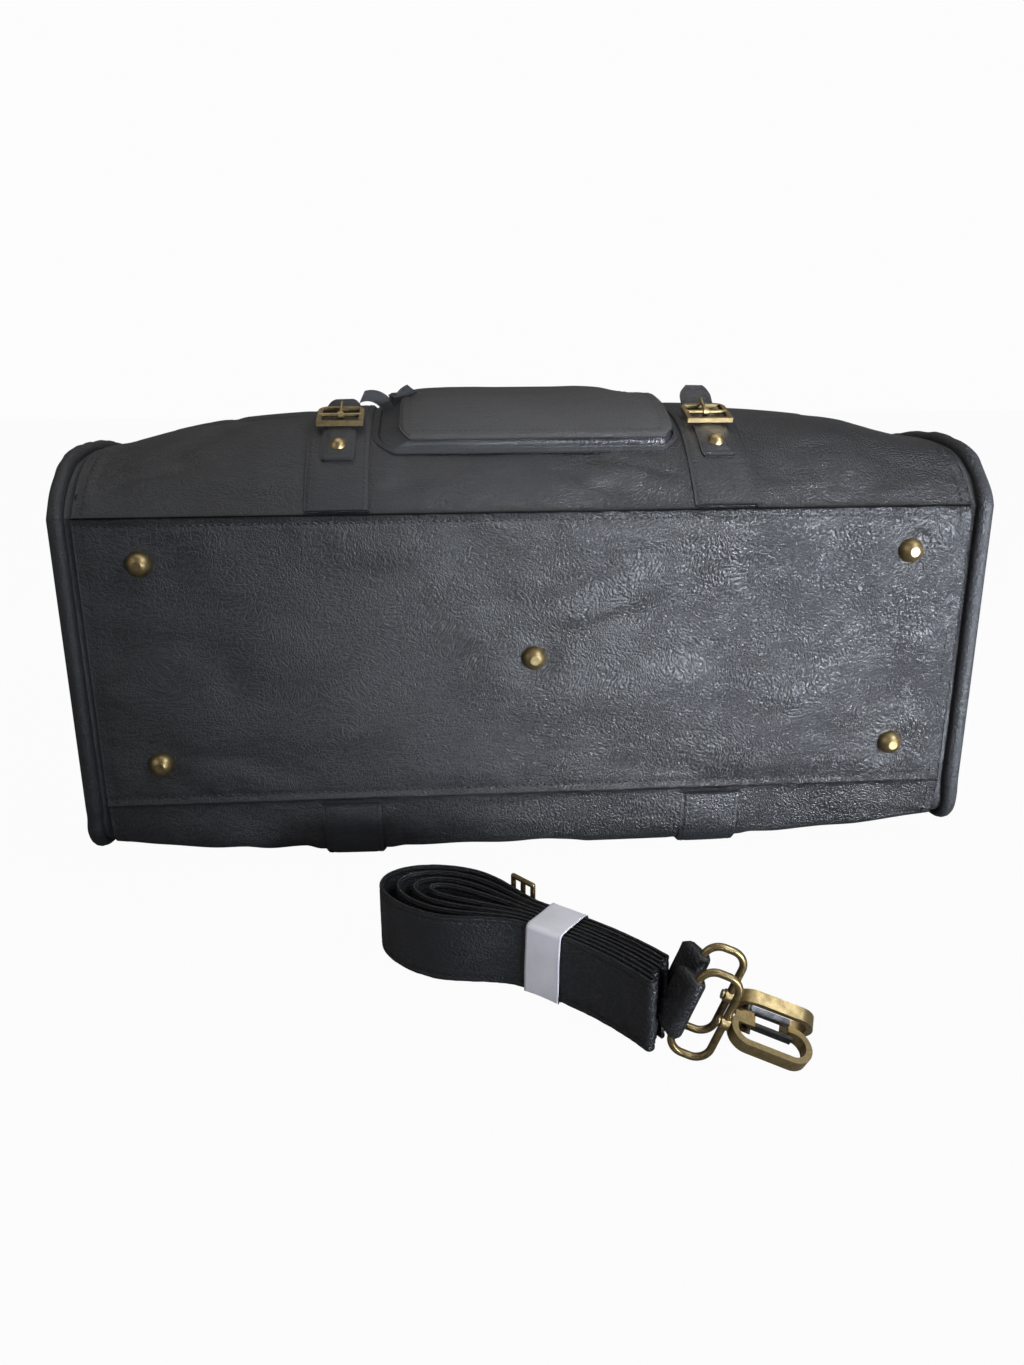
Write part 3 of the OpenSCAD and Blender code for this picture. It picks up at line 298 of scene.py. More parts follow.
def leather_group():
    """Crackled faux leather: pebbles, fine cracks, drawn-out creases, rubbed and glossy patches."""
    tree, gin, out = socketed("leather_skin",
        [("NodeSocketColor", "Dark", (0.013, 0.014, 0.017, 1)), ("NodeSocketColor", "Light", (0.05, 0.052, 0.06, 1)),
         ("NodeSocketFloat", "Rough", 0.42), ("NodeSocketFloat", "Crackle", 1.0),
         ("NodeSocketFloat", "Depth", 1.0)],
        [("NodeSocketColor", "Color"), ("NodeSocketFloat", "Roughness"), ("NodeSocketVector", "Normal")])
    where = node(tree, "ShaderNodeTexCoord").outputs["Object"]
    warp = node(tree, "ShaderNodeTexNoise", [("Vector", where)], i_Scale=22.0, i_Detail=2.0)
    bent = node(tree, "ShaderNodeMix", [(4, where), (5, warp.outputs["Color"])], data_type="VECTOR", i_0=0.03).outputs[1]
    pebble = node(tree, "ShaderNodeTexVoronoi", [("Vector", bent)], feature="SMOOTH_F1", i_Scale=760.0,
                  i_Smoothness=0.35).outputs["Distance"]
    fine = node(tree, "ShaderNodeTexNoise", [("Vector", where)], i_Scale=1500.0, i_Detail=3.0, i_Roughness=0.6).outputs[0]
    crack = node(tree, "ShaderNodeTexVoronoi", [("Vector", bent)], feature="DISTANCE_TO_EDGE", i_Scale=250.0).outputs["Distance"]
    crack = ramp(tree, crack, 0.0, 0.12, 1.0, 0.0)
    drawn = node(tree, "ShaderNodeMapping", [("Vector", bent)], i_Rotation=(0.0, 0.42, 0.3), i_Scale=(60.0, 260.0, 420.0))
    lines = node(tree, "ShaderNodeTexNoise", [("Vector", drawn.outputs[0])], i_Scale=1.0, i_Detail=2.0, i_Roughness=0.5).outputs[0]
    lines = ramp(tree, maths(tree, "ABSOLUTE", maths(tree, "SUBTRACT", lines, 0.5)), 0.0, 0.03, 1.0, 0.0)
    drawn_b = node(tree, "ShaderNodeMapping", [("Vector", bent)], i_Rotation=(0.2, -0.75, 0.2), i_Scale=(70.0, 300.0, 500.0))
    lines_b = node(tree, "ShaderNodeTexNoise", [("Vector", drawn_b.outputs[0])], i_Scale=1.0, i_Detail=2.0).outputs[0]
    lines_b = ramp(tree, maths(tree, "ABSOLUTE", maths(tree, "SUBTRACT", lines_b, 0.5)), 0.0, 0.022, 1.0, 0.0)
    patch = node(tree, "ShaderNodeTexNoise", [("Vector", where)], i_Scale=13.0, i_Detail=3.0, i_Roughness=0.55).outputs[0]
    broad = node(tree, "ShaderNodeTexNoise", [("Vector", where)], i_Scale=6.0, i_Detail=2.0).outputs[0]
    worn = ramp(tree, patch, 0.42, 0.62)
    lines = maths(tree, "MULTIPLY", lines, worn)
    lines_b = maths(tree, "MULTIPLY", lines_b, ramp(tree, broad, 0.4, 0.6))
    drawn_all = maths(tree, "MAXIMUM", lines, lines_b)
    cracks = maths(tree, "MULTIPLY", maths(tree, "MULTIPLY", crack, gin.outputs["Crackle"]), ramp(tree, patch, 0.35, 0.7, 0.35, 1.0))
    side = node(tree, "ShaderNodeSeparateXYZ", [("Vector", where)]).outputs[0]
    height = maths(tree, "SUBTRACT", maths(tree, "ADD", maths(tree, "MULTIPLY", pebble, ramp(tree, side, -0.05, 0.12, -0.45, -1.0)), maths(tree, "MULTIPLY", fine, 0.55)),
                   maths(tree, "MULTIPLY", cracks, 0.28))
    height = maths(tree, "SUBTRACT", height, maths(tree, "MULTIPLY", drawn_all, 0.5))
    slant = node(tree, "ShaderNodeMapping", [("Vector", where)], i_Rotation=(0.0, 0.75, 0.0), i_Scale=(16.0, 38.0, 38.0))
    crumple = node(tree, "ShaderNodeTexNoise", [("Vector", slant.outputs[0])], i_Scale=1.0, i_Detail=4.0, i_Roughness=0.55).outputs[0]
    height = maths(tree, "ADD", height, maths(tree, "MULTIPLY", crumple, 4.2))
    bump = node(tree, "ShaderNodeBump", [("Height", height), ("Strength", gin.outputs["Depth"])], i_Distance=0.0011)
    tone = maths(tree, "ADD", maths(tree, "MULTIPLY", broad, 0.55), maths(tree, "MULTIPLY", fine, 0.35))
    tone = ramp(tree, tone, 0.3, 0.62)
    colour = blend_colour(tree, tone, gin.outputs["Dark"], gin.outputs["Light"])
    dusty = maths(tree, "MULTIPLY", maths(tree, "MAXIMUM", drawn_all, maths(tree, "MULTIPLY", cracks, 0.35)), 0.3)
    colour = blend_colour(tree, dusty, colour, (0.085, 0.087, 0.095, 1))
    rough = maths(tree, "ADD", gin.outputs["Rough"], maths(tree, "MULTIPLY", maths(tree, "SUBTRACT", patch, 0.5), 0.16))
    rough = maths(tree, "ADD", rough, ramp(tree, side, -0.09, 0.1, 0.16, -0.045))
    rough = maths(tree, "ADD", rough, ramp(tree, side, 0.236, 0.25, 0.0, 0.22))
    rough = maths(tree, "ADD", rough, maths(tree, "MULTIPLY", drawn_all, 0.18), clamp=True)
    tree.links.new(colour, out.inputs["Color"])
    tree.links.new(rough, out.inputs["Roughness"])
    tree.links.new(bump.outputs[0], out.inputs["Normal"])
    return tree


skin_group = leather_group()


def leather(name, dark, light, rough=0.42, crackle=1.0, depth=0.6, coat=0.0):
    mat = bpy.data.materials.new(name)
    mat.use_nodes = True
    tree = mat.node_tree
    shader = tree.nodes["Principled BSDF"]
    g = tree.nodes.new("ShaderNodeGroup")
    g.node_tree = skin_group
    g.inputs["Dark"].default_value = (*dark, 1)
    g.inputs["Light"].default_value = (*light, 1)
    g.inputs["Rough"].default_value = rough
    g.inputs["Crackle"].default_value = crackle
    g.inputs["Depth"].default_value = depth
    tree.links.new(g.outputs["Color"], shader.inputs["Base Color"])
    tree.links.new(g.outputs["Roughness"], shader.inputs["Roughness"])
    tree.links.new(g.outputs["Normal"], shader.inputs["Normal"])
    shader.inputs["Specular IOR Level"].default_value = 0.55
    shader.inputs["Coat Weight"].default_value = coat
    shader.inputs["Coat Roughness"].default_value = 0.3
    return mat


body_leather = leather("crackled_leather", (0.0045, 0.0044, 0.005), (0.0155, 0.0152, 0.0168), 0.36, 1.0, 0.62)
strap_leather = leather("strap_leather", (0.005, 0.005, 0.0062), (0.014, 0.0142, 0.0168), 0.4, 0.6, 0.42)
pocket_leather = leather("pocket_leather", (0.014, 0.0134, 0.0132), (0.04, 0.0385, 0.038), 0.48, 0.8, 0.5)


def plain(name, colour, rough, bump_scale=0.0, bump=0.0, metallic=0.0):
    """Simple procedural finish: a base colour broken up by noise, with a fine relief."""
    mat = bpy.data.materials.new(name)
    mat.use_nodes = True
    tree = mat.node_tree
    shader = tree.nodes["Principled BSDF"]
    where = node(tree, "ShaderNodeTexCoord").outputs["Object"]
    n = node(tree, "ShaderNodeTexNoise", [("Vector", where)], i_Scale=bump_scale or 300.0, i_Detail=4.0).outputs[0]
    dark = tuple(c * 0.75 for c in colour) + (1,)
    light = tuple(min(1, c * 1.2) for c in colour) + (1,)
    tree.links.new(blend_colour(tree, n, dark, light), shader.inputs["Base Color"])
    b = node(tree, "ShaderNodeBump", [("Height", n)], i_Strength=bump, i_Distance=0.0004)
    tree.links.new(b.outputs[0], shader.inputs["Normal"])
    shader.inputs["Roughness"].default_value = rough
    shader.inputs["Metallic"].default_value = metallic
    return mat


thread = plain("waxed_thread", (0.0035, 0.0035, 0.004), 0.5, 2600.0, 0.5)
edge_paint = plain("painted_edge", (0.014, 0.0142, 0.016), 0.5, 900.0, 0.4)


def calm(x, y):
    """1 where the panel is free to wave, 0 under the straps and their tabs."""
    strap = step(20, 30, np.abs(np.abs(x) - 105))
    return strap


def front_waves(p):
    """How far the stuffed front and back wave, in millimetres."""
    q = p * np.array([1.0, 0.75, 1.0])
    w = 2.6 * lumps(q, 58, 3.1) + 1.1 * lumps(q, 24, 9.7)
    fold = 1 - np.abs(lumps(p * np.array([0.5, 1.2, 1.0]) + 14 * lumps(p, 60, 5.2)[..., None], 30, 1.3))
    return w - 1.6 * step(0.6, 1.0, fold)


def panel(front):
    xs = np.linspace(-242, 242, 243)
    ss = np.concatenate([np.linspace(0, 0.12, 9)[:-1], np.linspace(0.12, 1.975, 110)])
    x, s = np.meshgrid(xs, ss, indexing="ij")
    rest = skin_at(x, front, s)
    y = rest[..., 1] - 6
    edge = step(0, 14, y + 0.35 * (np.abs(rest[..., 2]) - 81.5)) * step(0, 16, 242 - np.abs(x)) * step(1.975, 1.85, s)
    w = front_waves(rest) * calm(x, y) * edge
    if front:
        under = step(70, 84, np.abs(x)) + step(44, 30, y) + step(196, 206, y)
        w = w * np.clip(under, 0, 1) + 0.9 * step(30, 12, y) * step(4, 12, y) * lumps(rest, 16, 4.4) * calm(x, y)
    w = np.minimum(w, 0.25)
    gather = 0.8 * step(30, 4, 242 - np.abs(x)) * lumps(rest * np.array([0.2, 1, 1]), 9, 2.2) * step(0, 20, y)
    seam = 1.1 * np.exp(-((y + 0.4 * (np.abs(rest[..., 2]) - 81.5)) / 1.6) ** 2)
    outer = skin_at(x, front, s, w + np.minimum(gather, 0.2) + seam - 0.2)
    inner = skin_at(x, front, s, -2.4)
    part = shell(outer, inner)
    return part if front else (part[0], [f[::-1] for f in part[1]])


front_piece = build("front_panel_skin", *panel(True), body_leather, "bag", "leather", ["front_panel"])
back_piece = build("back_panel_skin", *panel(False), body_leather, "bag", "leather", ["back_panel"])

# --- Base ---
# A flat leather panel over a stiffening board, sewn all round. It sags in shallow waves, is drawn
# in round each brass foot, and a row of heavy black stitches runs along both long seams.
feet_at = [(0, 0), (210, 57), (210, -57), (-210, 57), (-210, -57)]


def base_rise(x, z):
    """How far the base panel stands out past its seam line, in millimetres."""
    p = np.stack([x, 0 * x, z], -1)
    q = np.stack([0.8 * x + 0.5 * z, 0 * x, z - 0.35 * x], -1)
    free = step(0, 16, 81 - np.abs(z)) * step(0, 20, 243 - np.abs(x))
    for fx, fz in feet_at:
        free = free * step(5.5, 24, np.hypot(x - fx, z - fz))
    fold = 1 - np.abs(lumps(q * np.array([0.45, 1, 1.0]) + 12 * lumps(p, 70, 8.1)[..., None], 34, 6.3))
    right = step(-60, 90, x)
    wave = (1.5 + 0.8 * right) * (0.6 + lumps(q, 62, 2.7)) + (0.45 + 0.75 * right) * lumps(q, 27, 4.9)
    gather = 0.5 * lumps(np.stack([0.3 * x, 0 * x, z], -1), 8, 1.9) * step(40, 6, 243 - np.abs(x))
    seam_pull = 0.45 * lumps(np.stack([x, 0 * x, 0.25 * z], -1), 9, 7.9) * step(26, 6, 81 - np.abs(z))
    return np.clip((1.25 + 0.5 * right) * (wave - 1.3 * step(0.4, 1.0, fold)) * free, -2.0, 5.0) + (gather + seam_pull) * np.clip(free * 3, 0, 1)


xs = np.linspace(-242.5, 242.5, 405)
zs = np.linspace(-81.2, 81.2, 137)
x, z = np.meshgrid(xs, zs, indexing="ij")
groove = 0.7 * np.exp(-((81.2 - np.abs(z) - 4.0) / 1.1) ** 2)
lip = 0.9 * np.exp(-((81.2 - np.abs(z)) / 1.5) ** 2)
outer = np.stack([x, 6 - base_rise(x, z) + groove - lip, z], -1)
inner = np.stack([x, 0 * x + 8.4, z * 0.975], -1)
part = shell(outer, inner)
base_piece = build("base_skin", part[0], [f[::-1] for f in part[1]], body_leather, "bag", "leather", ["base_panel"])

rows = []
for side in (-1, 1):
    sx = np.arange(-239, 239, 0.8)
    sz = np.full_like(sx, side * 77.2)
    rows.append(stitches(np.stack([sx, 6 - base_rise(sx, sz) + 0.5, sz], -1), (0, -1, 0), 4.0, 3.0, 1.15))
build("base_seam_stitching", *joined(*rows), thread, "bag", "leather_trim")

# Stiffening board, and the washers that hold the feet's shanks
board_mat = plain("board", (0.2, 0.19, 0.18), 0.8, 500.0, 0.3)
nodes["base_board"].data.materials.clear()
nodes["base_board"].data.materials.append(board_mat)

# --- Lining ---
# Plain-woven brown-grey cloth hanging inside the leather, loose enough to pucker.


def woven(name, dark, light, threads, rough=0.85, depth=0.5, sheen=0.3):
    """Plain weave: two crossed sets of threads, with slubs."""
    mat = bpy.data.materials.new(name)
    mat.use_nodes = True
    tree = mat.node_tree
    shader = tree.nodes["Principled BSDF"]
    where = node(tree, "ShaderNodeTexCoord").outputs["Object"]
    waves = [node(tree, "ShaderNodeTexWave", [("Vector", where)], bands_direction=axis, i_Scale=threads,
                  i_Distortion=0.6, i_Detail=1.0).outputs["Fac"] for axis in ("X", "Y", "Z")]
    weave = maths(tree, "MAXIMUM", maths(tree, "MAXIMUM", waves[0], waves[1]), waves[2])
    slub = node(tree, "ShaderNodeTexNoise", [("Vector", where)], i_Scale=threads * 1.3, i_Detail=3.0).outputs[0]
    tone = maths(tree, "MULTIPLY", weave, ramp(tree, slub, 0.3, 0.7, 0.5, 1.0))
    tree.links.new(blend_colour(tree, tone, (*dark, 1), (*light, 1)), shader.inputs["Base Color"])
    b = node(tree, "ShaderNodeBump", [("Height", tone)], i_Strength=depth, i_Distance=0.0003)
    tree.links.new(b.outputs[0], shader.inputs["Normal"])
    shader.inputs["Roughness"].default_value = rough
    shader.inputs["Sheen Weight"].default_value = sheen
    return mat


lining_mat = woven("lining_cloth", (0.06, 0.055, 0.05), (0.22, 0.2, 0.18), 420.0)


def lining_row(x, front):
    s = np.linspace(0.11, 1.86, 60)
    p = skin_at(x, front, s, -3.3)
    pucker = np.minimum(0, 1.2 * lumps(p, 22, 6.6) - 0.6)
    return skin_at(x, front, s, -3.3 + pucker)


grid = []
for x in np.linspace(-238, 238, 120):
    a, b = lining_row(x, True), lining_row(x, False)
    floor = np.array([[x, 13.2 + 0.5 * abs(float(lumps(np.array([x, 0, z]), 20, 1.1))), z] for z in np.linspace(72, -72, 25)])
    grid.append(np.concatenate([a[::-1], floor, b]))
grid = np.array(grid)
inward = grid + 0.8 * unit(np.array([0, 130, 0]) * np.array([0, 1, 1]) - grid * np.array([0, 1, 1]))
build("lining_cloth_shell", *shell(grid, inward), lining_mat, "bag", "lining", ["lining"])
nodes["lining_ends"].data.materials.clear()
nodes["lining_ends"].data.materials.append(lining_mat)

# --- Vertical straps ---
# Flat leather straps sewn up the front and back over the base seam, each edge turned and held by
# a row of stitches, ending in a loop for the handle's ring.


def strap_normal(front):
    def f(p):
        s = s_at(p[:, 0], front, np.clip(p[:, 1] - 6, 0, 269))
        return skin_at(p[:, 0], front, s, 1.0) - skin_at(p[:, 0], front, s, 0.0)
    return f


def vertical_strap(side, front, to):
    us = np.linspace(-17.25, 17.25, 24)
    ss = np.linspace(0.012, to, 150)
    u, s = np.meshgrid(us, ss, indexing="ij")
    e = 17.25 - np.abs(u)
    across = 1.9 + 0.35 * step(0, 2.2, e) - 0.5 * np.exp(-((e - 3.6) / 0.8) ** 2) - 1.2 * step(0.9, 0.0, e)
    p = np.stack([side * 105 + u, s * 100, 0 * u], -1)
    wavy = 0.3 * lumps(p, 24, 1.7)
    line = side * 105 + u + 0.8 * lumps(np.stack([0 * u, s * 110, 0 * u], -1), 40, side + 2.5)
    outer = skin_at(line, front, s, across + wavy * step(0.02, 0.1, s))
    inner = skin_at(line, front, s, 0.3)
    body = shell(outer, inner)
    if not front:
        body = (body[0], [f[::-1] for f in body[1]])
    sewn = []
    for edge in (-13.6, 13.6):
        k = int(np.argmin(np.abs(us - edge)))
        sewn.append(stitches(outer[k], strap_normal(front), 3.3, 2.4, 0.8))
    sewn = joined(*sewn)
    if not front:
        sewn = (sewn[0] * np.array([1, 1, 1]), sewn[1])
    return body, sewn


for front in (True, False):
    for side, tag in ((-1, "left"), (1, "right")):
        word = "front" if front else "back"
        to = float(s_at(105.0, front, 250 - 6 - 3.5))
        body, sewn = vertical_strap(side, front, to)
        build(f"strap_{word}_{tag}_leather", *body, strap_leather, "bag", "leather_trim", [f"strap_{word}_{tag}"])
        build(f"strap_{word}_{tag}_stitching", *sewn, thread, "bag", "leather_trim")

# --- Buckle tabs ---
# Short padded leather tabs on the two front straps, held by a domed rivet, threaded through the
# brass buckle and springing free above it. Their edges are stitched; their edge paint is not drawn.


def buckle_tab(side, lift):
    ys = np.linspace(24, 92, 90)
    us = np.linspace(-1, 1, 17)
    y, u = np.meshgrid(ys, us, indexing="ij")
    narrow = np.where(y > 86, np.sqrt(np.maximum(0.06, 1 - ((y - 86) / 6.6) ** 2)), 1)
    narrow = narrow * np.where(y < 27, 0.86 + 0.14 * np.sqrt(np.clip((y - 24) / 3, 0, 1)), 1)
    x = side * 105 + u * narrow * 9.5
    s = s_at(x, True, y)
    rise = 2.2 + lift * np.clip((y - 74) / 18, 0, 1) ** 1.6
    e = (1 - np.abs(u)) * 9.5
    tip = np.minimum(e, np.minimum(y - 24, 92.3 - y))
    top = rise + 2.2 - 1.3 * step(0.9, 0, tip) - 0.4 * np.exp(-((tip - 2.4) / 0.6) ** 2) + 0.25 * step(2.6, 5, tip)
    outer = skin_at(x, True, s, top)
    inner = skin_at(x, True, s, rise)
    path_u = [0.75, -0.75]
    left = outer[3:, 2]
    right = outer[3:, 14][::-1]
    row = np.concatenate([left[:-6], right[6:]])
    return shell(outer, inner), stitches(row, strap_normal(True), 3.0, 2.1, 0.7)


for side, tag, lift in ((-1, "left", 4), (1, "right", 11)):
    body, sewn = buckle_tab(side, lift)
    if side > 0:
        pass
    build(f"buckle_tab_{tag}_leather", body[0], [f[::-1] for f in body[1]], strap_leather, "bag", "leather_trim", [f"buckle_tab_{tag}"])
    build(f"buckle_tab_{tag}_stitching", *sewn, thread, "bag", "leather_trim")

# --- Front pocket ---
# A bellows pocket: a soft leather face turned down over a gusset wall on three sides, with a
# black zip along its mouth whose tape ends fork out past the face on the left.


def pocket_half(y):
    return 83 - 7 * (1 - np.minimum(1, (y - 34) / 12)) ** 2


def pocket_z(x, y):
    grow = np.minimum(1, (y - 34) / 76)
    return z_at(x, np.minimum(y, 110)) + 7 + 1.5 * np.sin(math.pi / 2 * grow)


def pulled_in(x, y, t):
    """The gusset slopes on the left, so the face's edge is inside the gusset's foot there."""
    return x * (1 - 0.135 * t * step(0, -60, x) * step(182, 140, y))


def pocket_sag(x, y):
    return 3.2 * step(42, 83, x) * step(95, 180, y) + 2.2 * step(-40, -80, x) * step(95, 180, y)


ys = np.concatenate([np.linspace(34, 46, 22)[:-1], np.linspace(46, 186, 110)])
us = np.linspace(-1, 1, 150)
y, u = np.meshgrid(ys, us, indexing="ij")
x = u * pocket_half(y)
top = pocket_z(x, y) - pocket_sag(x, y)
x = pulled_in(x, y, 1.0)
e = np.minimum((1 - np.abs(u)) * 83, y - 34)
p = np.stack([x, y, 0 * x], -1)
bow = 1.8 * step(0, 26, e)
ripple = (1.6 * lumps(p, 48, 5.5) + 0.6 * lumps(p, 18, 2.5)) * step(1, 22, e)
fold = 1.1 * lumps(np.stack([x * 0.3, y, 0 * x], -1), 7, 3.3) * step(10, 2, e) * step(0, 2, e)
outer = np.stack([x, 6 + y - 0.8 * step(6, 0, y - 34) * np.abs(lumps(p, 30, 7.7)), top + bow * 0.6 + ripple * 0.7 + fold * 0.4 - 1.5 * step(2.2, 0, e)], -1)
inner = np.stack([x, 6 + y, top - 1.8], -1)
part = shell(outer, inner)
build("pocket_face_skin", part[0], [f[::-1] for f in part[1]], pocket_leather, "bag", "leather", ["pocket_face"])
rows = []
k = int(np.argmin(np.abs(ys - 38.5)))
rows.append(stitches(outer[k, 6:-6], (0, -0.4, 1), 3.4, 2.4, 0.7))
for c in (6, 143):
    rows.append(stitches(outer[k:-1, c], (0, 0, 1), 3.4, 2.4, 0.7))
build("pocket_stitching", *joined(*rows), thread, "bag", "leather_trim")


def gusset_path(d):
    ys = np.linspace(185.5, 34 + d, 60)
    left = [(-(float(pocket_half(v)) - d), float(v)) for v in ys]
    h = float(pocket_half(34 + d)) - d
    low = [(float(v), 34 + d) for v in np.linspace(-h, h, 90)[1:-1]]
    return np.array(left + low + [(-a, b) for a, b in left[::-1]])


def gusset_grid(d, n=14):
    path = gusset_path(d)
    z0 = z_at(path[:, 0], path[:, 1]) + 0.6
    z1 = pocket_z(path[:, 0], path[:, 1]) - pocket_sag(path[:, 0], path[:, 1]) - 2.1
    t = np.linspace(0, 1, n)[None]
    z = z0[:, None] + (z1 - z0)[:, None] * t
    q = np.stack([path[:, 0], path[:, 1], 0 * z0], -1)
    fold_in = 1.4 * np.sin(math.pi * t) * (0.7 + 0.5 * lumps(q, 14, 1.2))[:, None]
    normal = unit(np.stack([-path[:, 0] * (np.abs(path[:, 0]) > 70), 60.0 * (path[:, 1] < 50), 0 * z0], -1) + 1e-6)
    return np.stack([pulled_in(path[:, 0][:, None], path[:, 1][:, None], t) + normal[:, 0][:, None] * fold_in,
                     6 + path[:, 1][:, None] + normal[:, 1][:, None] * fold_in, z], -1)


part = shell(gusset_grid(0.5), gusset_grid(2.3))
build("pocket_gusset_skin", part[0], [f[::-1] for f in part[1]], strap_leather, "bag", "leather_trim", ["pocket_gusset"])

# The gusset is turned out flat and sewn down along the front as a narrow flange.
path = gusset_path(0.0)[6:-6]
rows = []
for k, d in enumerate((0.2, 1.6, 3.0, 3.8)):
    q = gusset_path(-d)[6:-6]
    s = s_at(q[:, 0], True, q[:, 1])
    rows.append(skin_at(q[:, 0], True, s, (1.5, 1.15, 0.9, 0.35)[k]))
top = np.array(rows)
low = np.array([skin_at(q[:, 0], True, s_at(q[:, 0], True, q[:, 1]), 0.1)
                for q in (gusset_path(-d)[6:-6] for d in (0.2, 1.6, 3.0, 3.8))])
part = shell(top, low)
build("pocket_flange", *part, strap_leather, "bag", "leather_trim")

zip_mat = woven("zip_tape", (0.006, 0.006, 0.0065), (0.02, 0.02, 0.022), 900.0, 0.75, sheen=0.03)
for name in ("pocket_zip_tapes", "zip_end_tapes"):
    nodes[name].data.materials.clear()
    nodes[name].data.materials.append(zip_mat)

# Forked tape ends: two narrow woven ribbons, creased and curling outwards
ribbons = []
for lean, curl, y0, tall, root in ((-34, -30, 86.5, 19, -77.5), (16, 22, 92.5, 16, -74.5)):
    t = np.linspace(0, 1, 24)
    base = np.array([root, 6 + y0, float(z_at(-105, 90)) + 1.0])
    a = np.radians(lean + curl * t * t)
    mid = base + np.stack([tall * t * np.sin(a), 1.5 * np.sin(3 * t), tall * t * np.cos(a)], -1)
    w = np.linspace(-4, 4, 7)
    cup = 0.7 * (np.abs(w) / 4) ** 2
    turn = np.radians(70 + 15 * t)[:, None]
    across = np.stack([np.sin(turn) * w * np.cos(a)[:, None], np.cos(turn) * w + cup, -np.sin(turn) * w * np.sin(a)[:, None]], -1)
    grid = mid[:, None] + across
    ribbons.append(shell(grid, grid + np.array([0, 0.8, 0])))
part = joined(*ribbons)
build("pocket_tape_ends", *part, zip_mat, "bag", "zip_tape", ["pocket_tape_tails"])

# --- Ends ---
# A puffed leather panel closes each end, sewn to the body through a fat piping bead that the
# gathered leather makes wavy. Each carries a slip pocket and a tab with a brass D-ring.


def end_outline(lift, n):
    f = skin_at(245.0, True, np.linspace(1.999, 0.0, n), lift)
    b = skin_at(245.0, False, np.linspace(0.0, 1.999, n), lift)
    return np.concatenate([f[:, 1:], b[:, 1:]])


def crown(y, z):
    a = np.abs(y - 6 - 135) / 138
    b = np.abs(z) / 104.5
    return 18 * (1 - np.minimum(1, (a ** 4 + b ** 4) ** 0.25) ** 5)


def top_y(z):
    return 296 - 20 * (np.abs(z) / 65) ** 2


middle = np.array([136.5, 0.0])


def end_grid(base, waves):
    o = end_outline(-0.4, 70)
    arc = np.array([[top_y(z), z] for z in np.linspace(-62, 62, 30)])
    ring = np.concatenate([o, arc])
    ks = np.concatenate([[0.01], np.linspace(0.05, 0.9, 36), np.linspace(0.92, 1.0, 10)])
    q = middle + (ring - middle)[None] * ks[:, None, None]
    x = base + crown(q[..., 0], q[..., 1])
    p = np.stack([0 * x + waves, q[..., 0], q[..., 1]], -1)
    radial = np.stack([ks[:, None] * 20 + 0 * x, 0.35 * np.arange(len(ring))[None] * 8 + 0 * x, 0 * x + waves], -1)
    puff = 1.6 * lumps(p, 50, 2.2) + 0.7 * lumps(p, 22, 7.1)
    gather = 1.0 * lumps(radial, 13, 4.6) * step(0.6, 0.97, ks)[:, None]
    free = step(1.0, 0.93, ks)[:, None]
    flat = np.clip(step(66, 56, q[..., 0] - 6) + step(202, 212, q[..., 0] - 6) + step(52, 62, np.abs(q[..., 1])), 0, 1)
    x = x + np.clip(puff * free * flat + gather * free, -2.2, 0.25)
    return np.stack([x, q[..., 0], q[..., 1]], -1)


def end_panel(side):
    outer = end_grid(247.4 + 2.4, side * 31.0)
    inner = end_grid(247.4, 0.0)
    inner = np.stack([np.minimum(inner[..., 0], outer[..., 0] - 1.5), inner[..., 1], inner[..., 2]], -1)
    rows, cols = outer.shape[:2]
    half = rows * cols
    faces = grid_faces(rows, cols, True) + [[v + half for v in f[::-1]] for f in grid_faces(rows, cols, True)]
    faces += [[(rows - 1) * cols + c, (rows - 1) * cols + (c + 1) % cols,
               half + (rows - 1) * cols + (c + 1) % cols, half + (rows - 1) * cols + c] for c in range(cols)]
    faces += [list(range(cols))[::-1], [half + c for c in range(cols)]]
    part = (np.concatenate([outer.reshape(-1, 3), inner.reshape(-1, 3)]), faces)
    return part if side > 0 else mirrored(part, 0)


def bead(side):
    o = end_outline(-0.6, 260)
    p = np.stack([0 * o[:, 0] + side * 9, o[:, 0], o[:, 1]], -1)
    n = unit(np.stack([np.gradient(o[:, 1]), -np.gradient(o[:, 0])], -1))
    wave = 0.9 * lumps(p, 30, 3.7) + 0.55 * lumps(p, 11, 8.8)
    low = step(255, 230, o[:, 0])
    x = 250.6 + 1.2 * lumps(p, 26, 1.9) * low
    yz = o + n * (wave * low)[:, None]
    path = np.stack([x, yz[:, 0], yz[:, 1]], -1)
    core = tube(path, 4.4 + 0.5 * lumps(p, 8, 6.1), (1, 0, 0), 14)
    flange = []
    for off, dx in ((-0.6, -3.4), (-0.2, -10.0)):
        q = yz + n * off
        flange.append(np.stack([x + dx, q[:, 0], q[:, 1]], -1))
    inner = [f - np.stack([0 * x, n[:, 0] * 0.8, n[:, 1] * 0.8], -1) for f in flange]
    part = joined(core, shell(np.array(flange), np.array(inner)))
    return part if side > 0 else mirrored(part, 0)


for side, tag in ((-1, "left"), (1, "right")):
    build(f"end_panel_{tag}_skin", *end_panel(side), body_leather, "bag", "leather", [f"end_panel_{tag}"])
    build(f"piping_{tag}_bead", *bead(side), strap_leather, "bag", "leather_trim", [f"piping_{tag}"])
    o = end_outline(0.5, 300)
    path = np.stack([0 * o[:, 0] + 236.5, o[:, 0], o[:, 1]], -1)
    row = stitches(path, lambda p: np.stack([0 * p[:, 0], p[:, 1] - 136, 2 * p[:, 2]], -1), 3.8, 2.6, 0.8)
    row = row if side > 0 else mirrored(row, 0)
    build(f"piping_{tag}_stitching", *row, thread, "bag", "leather_trim")


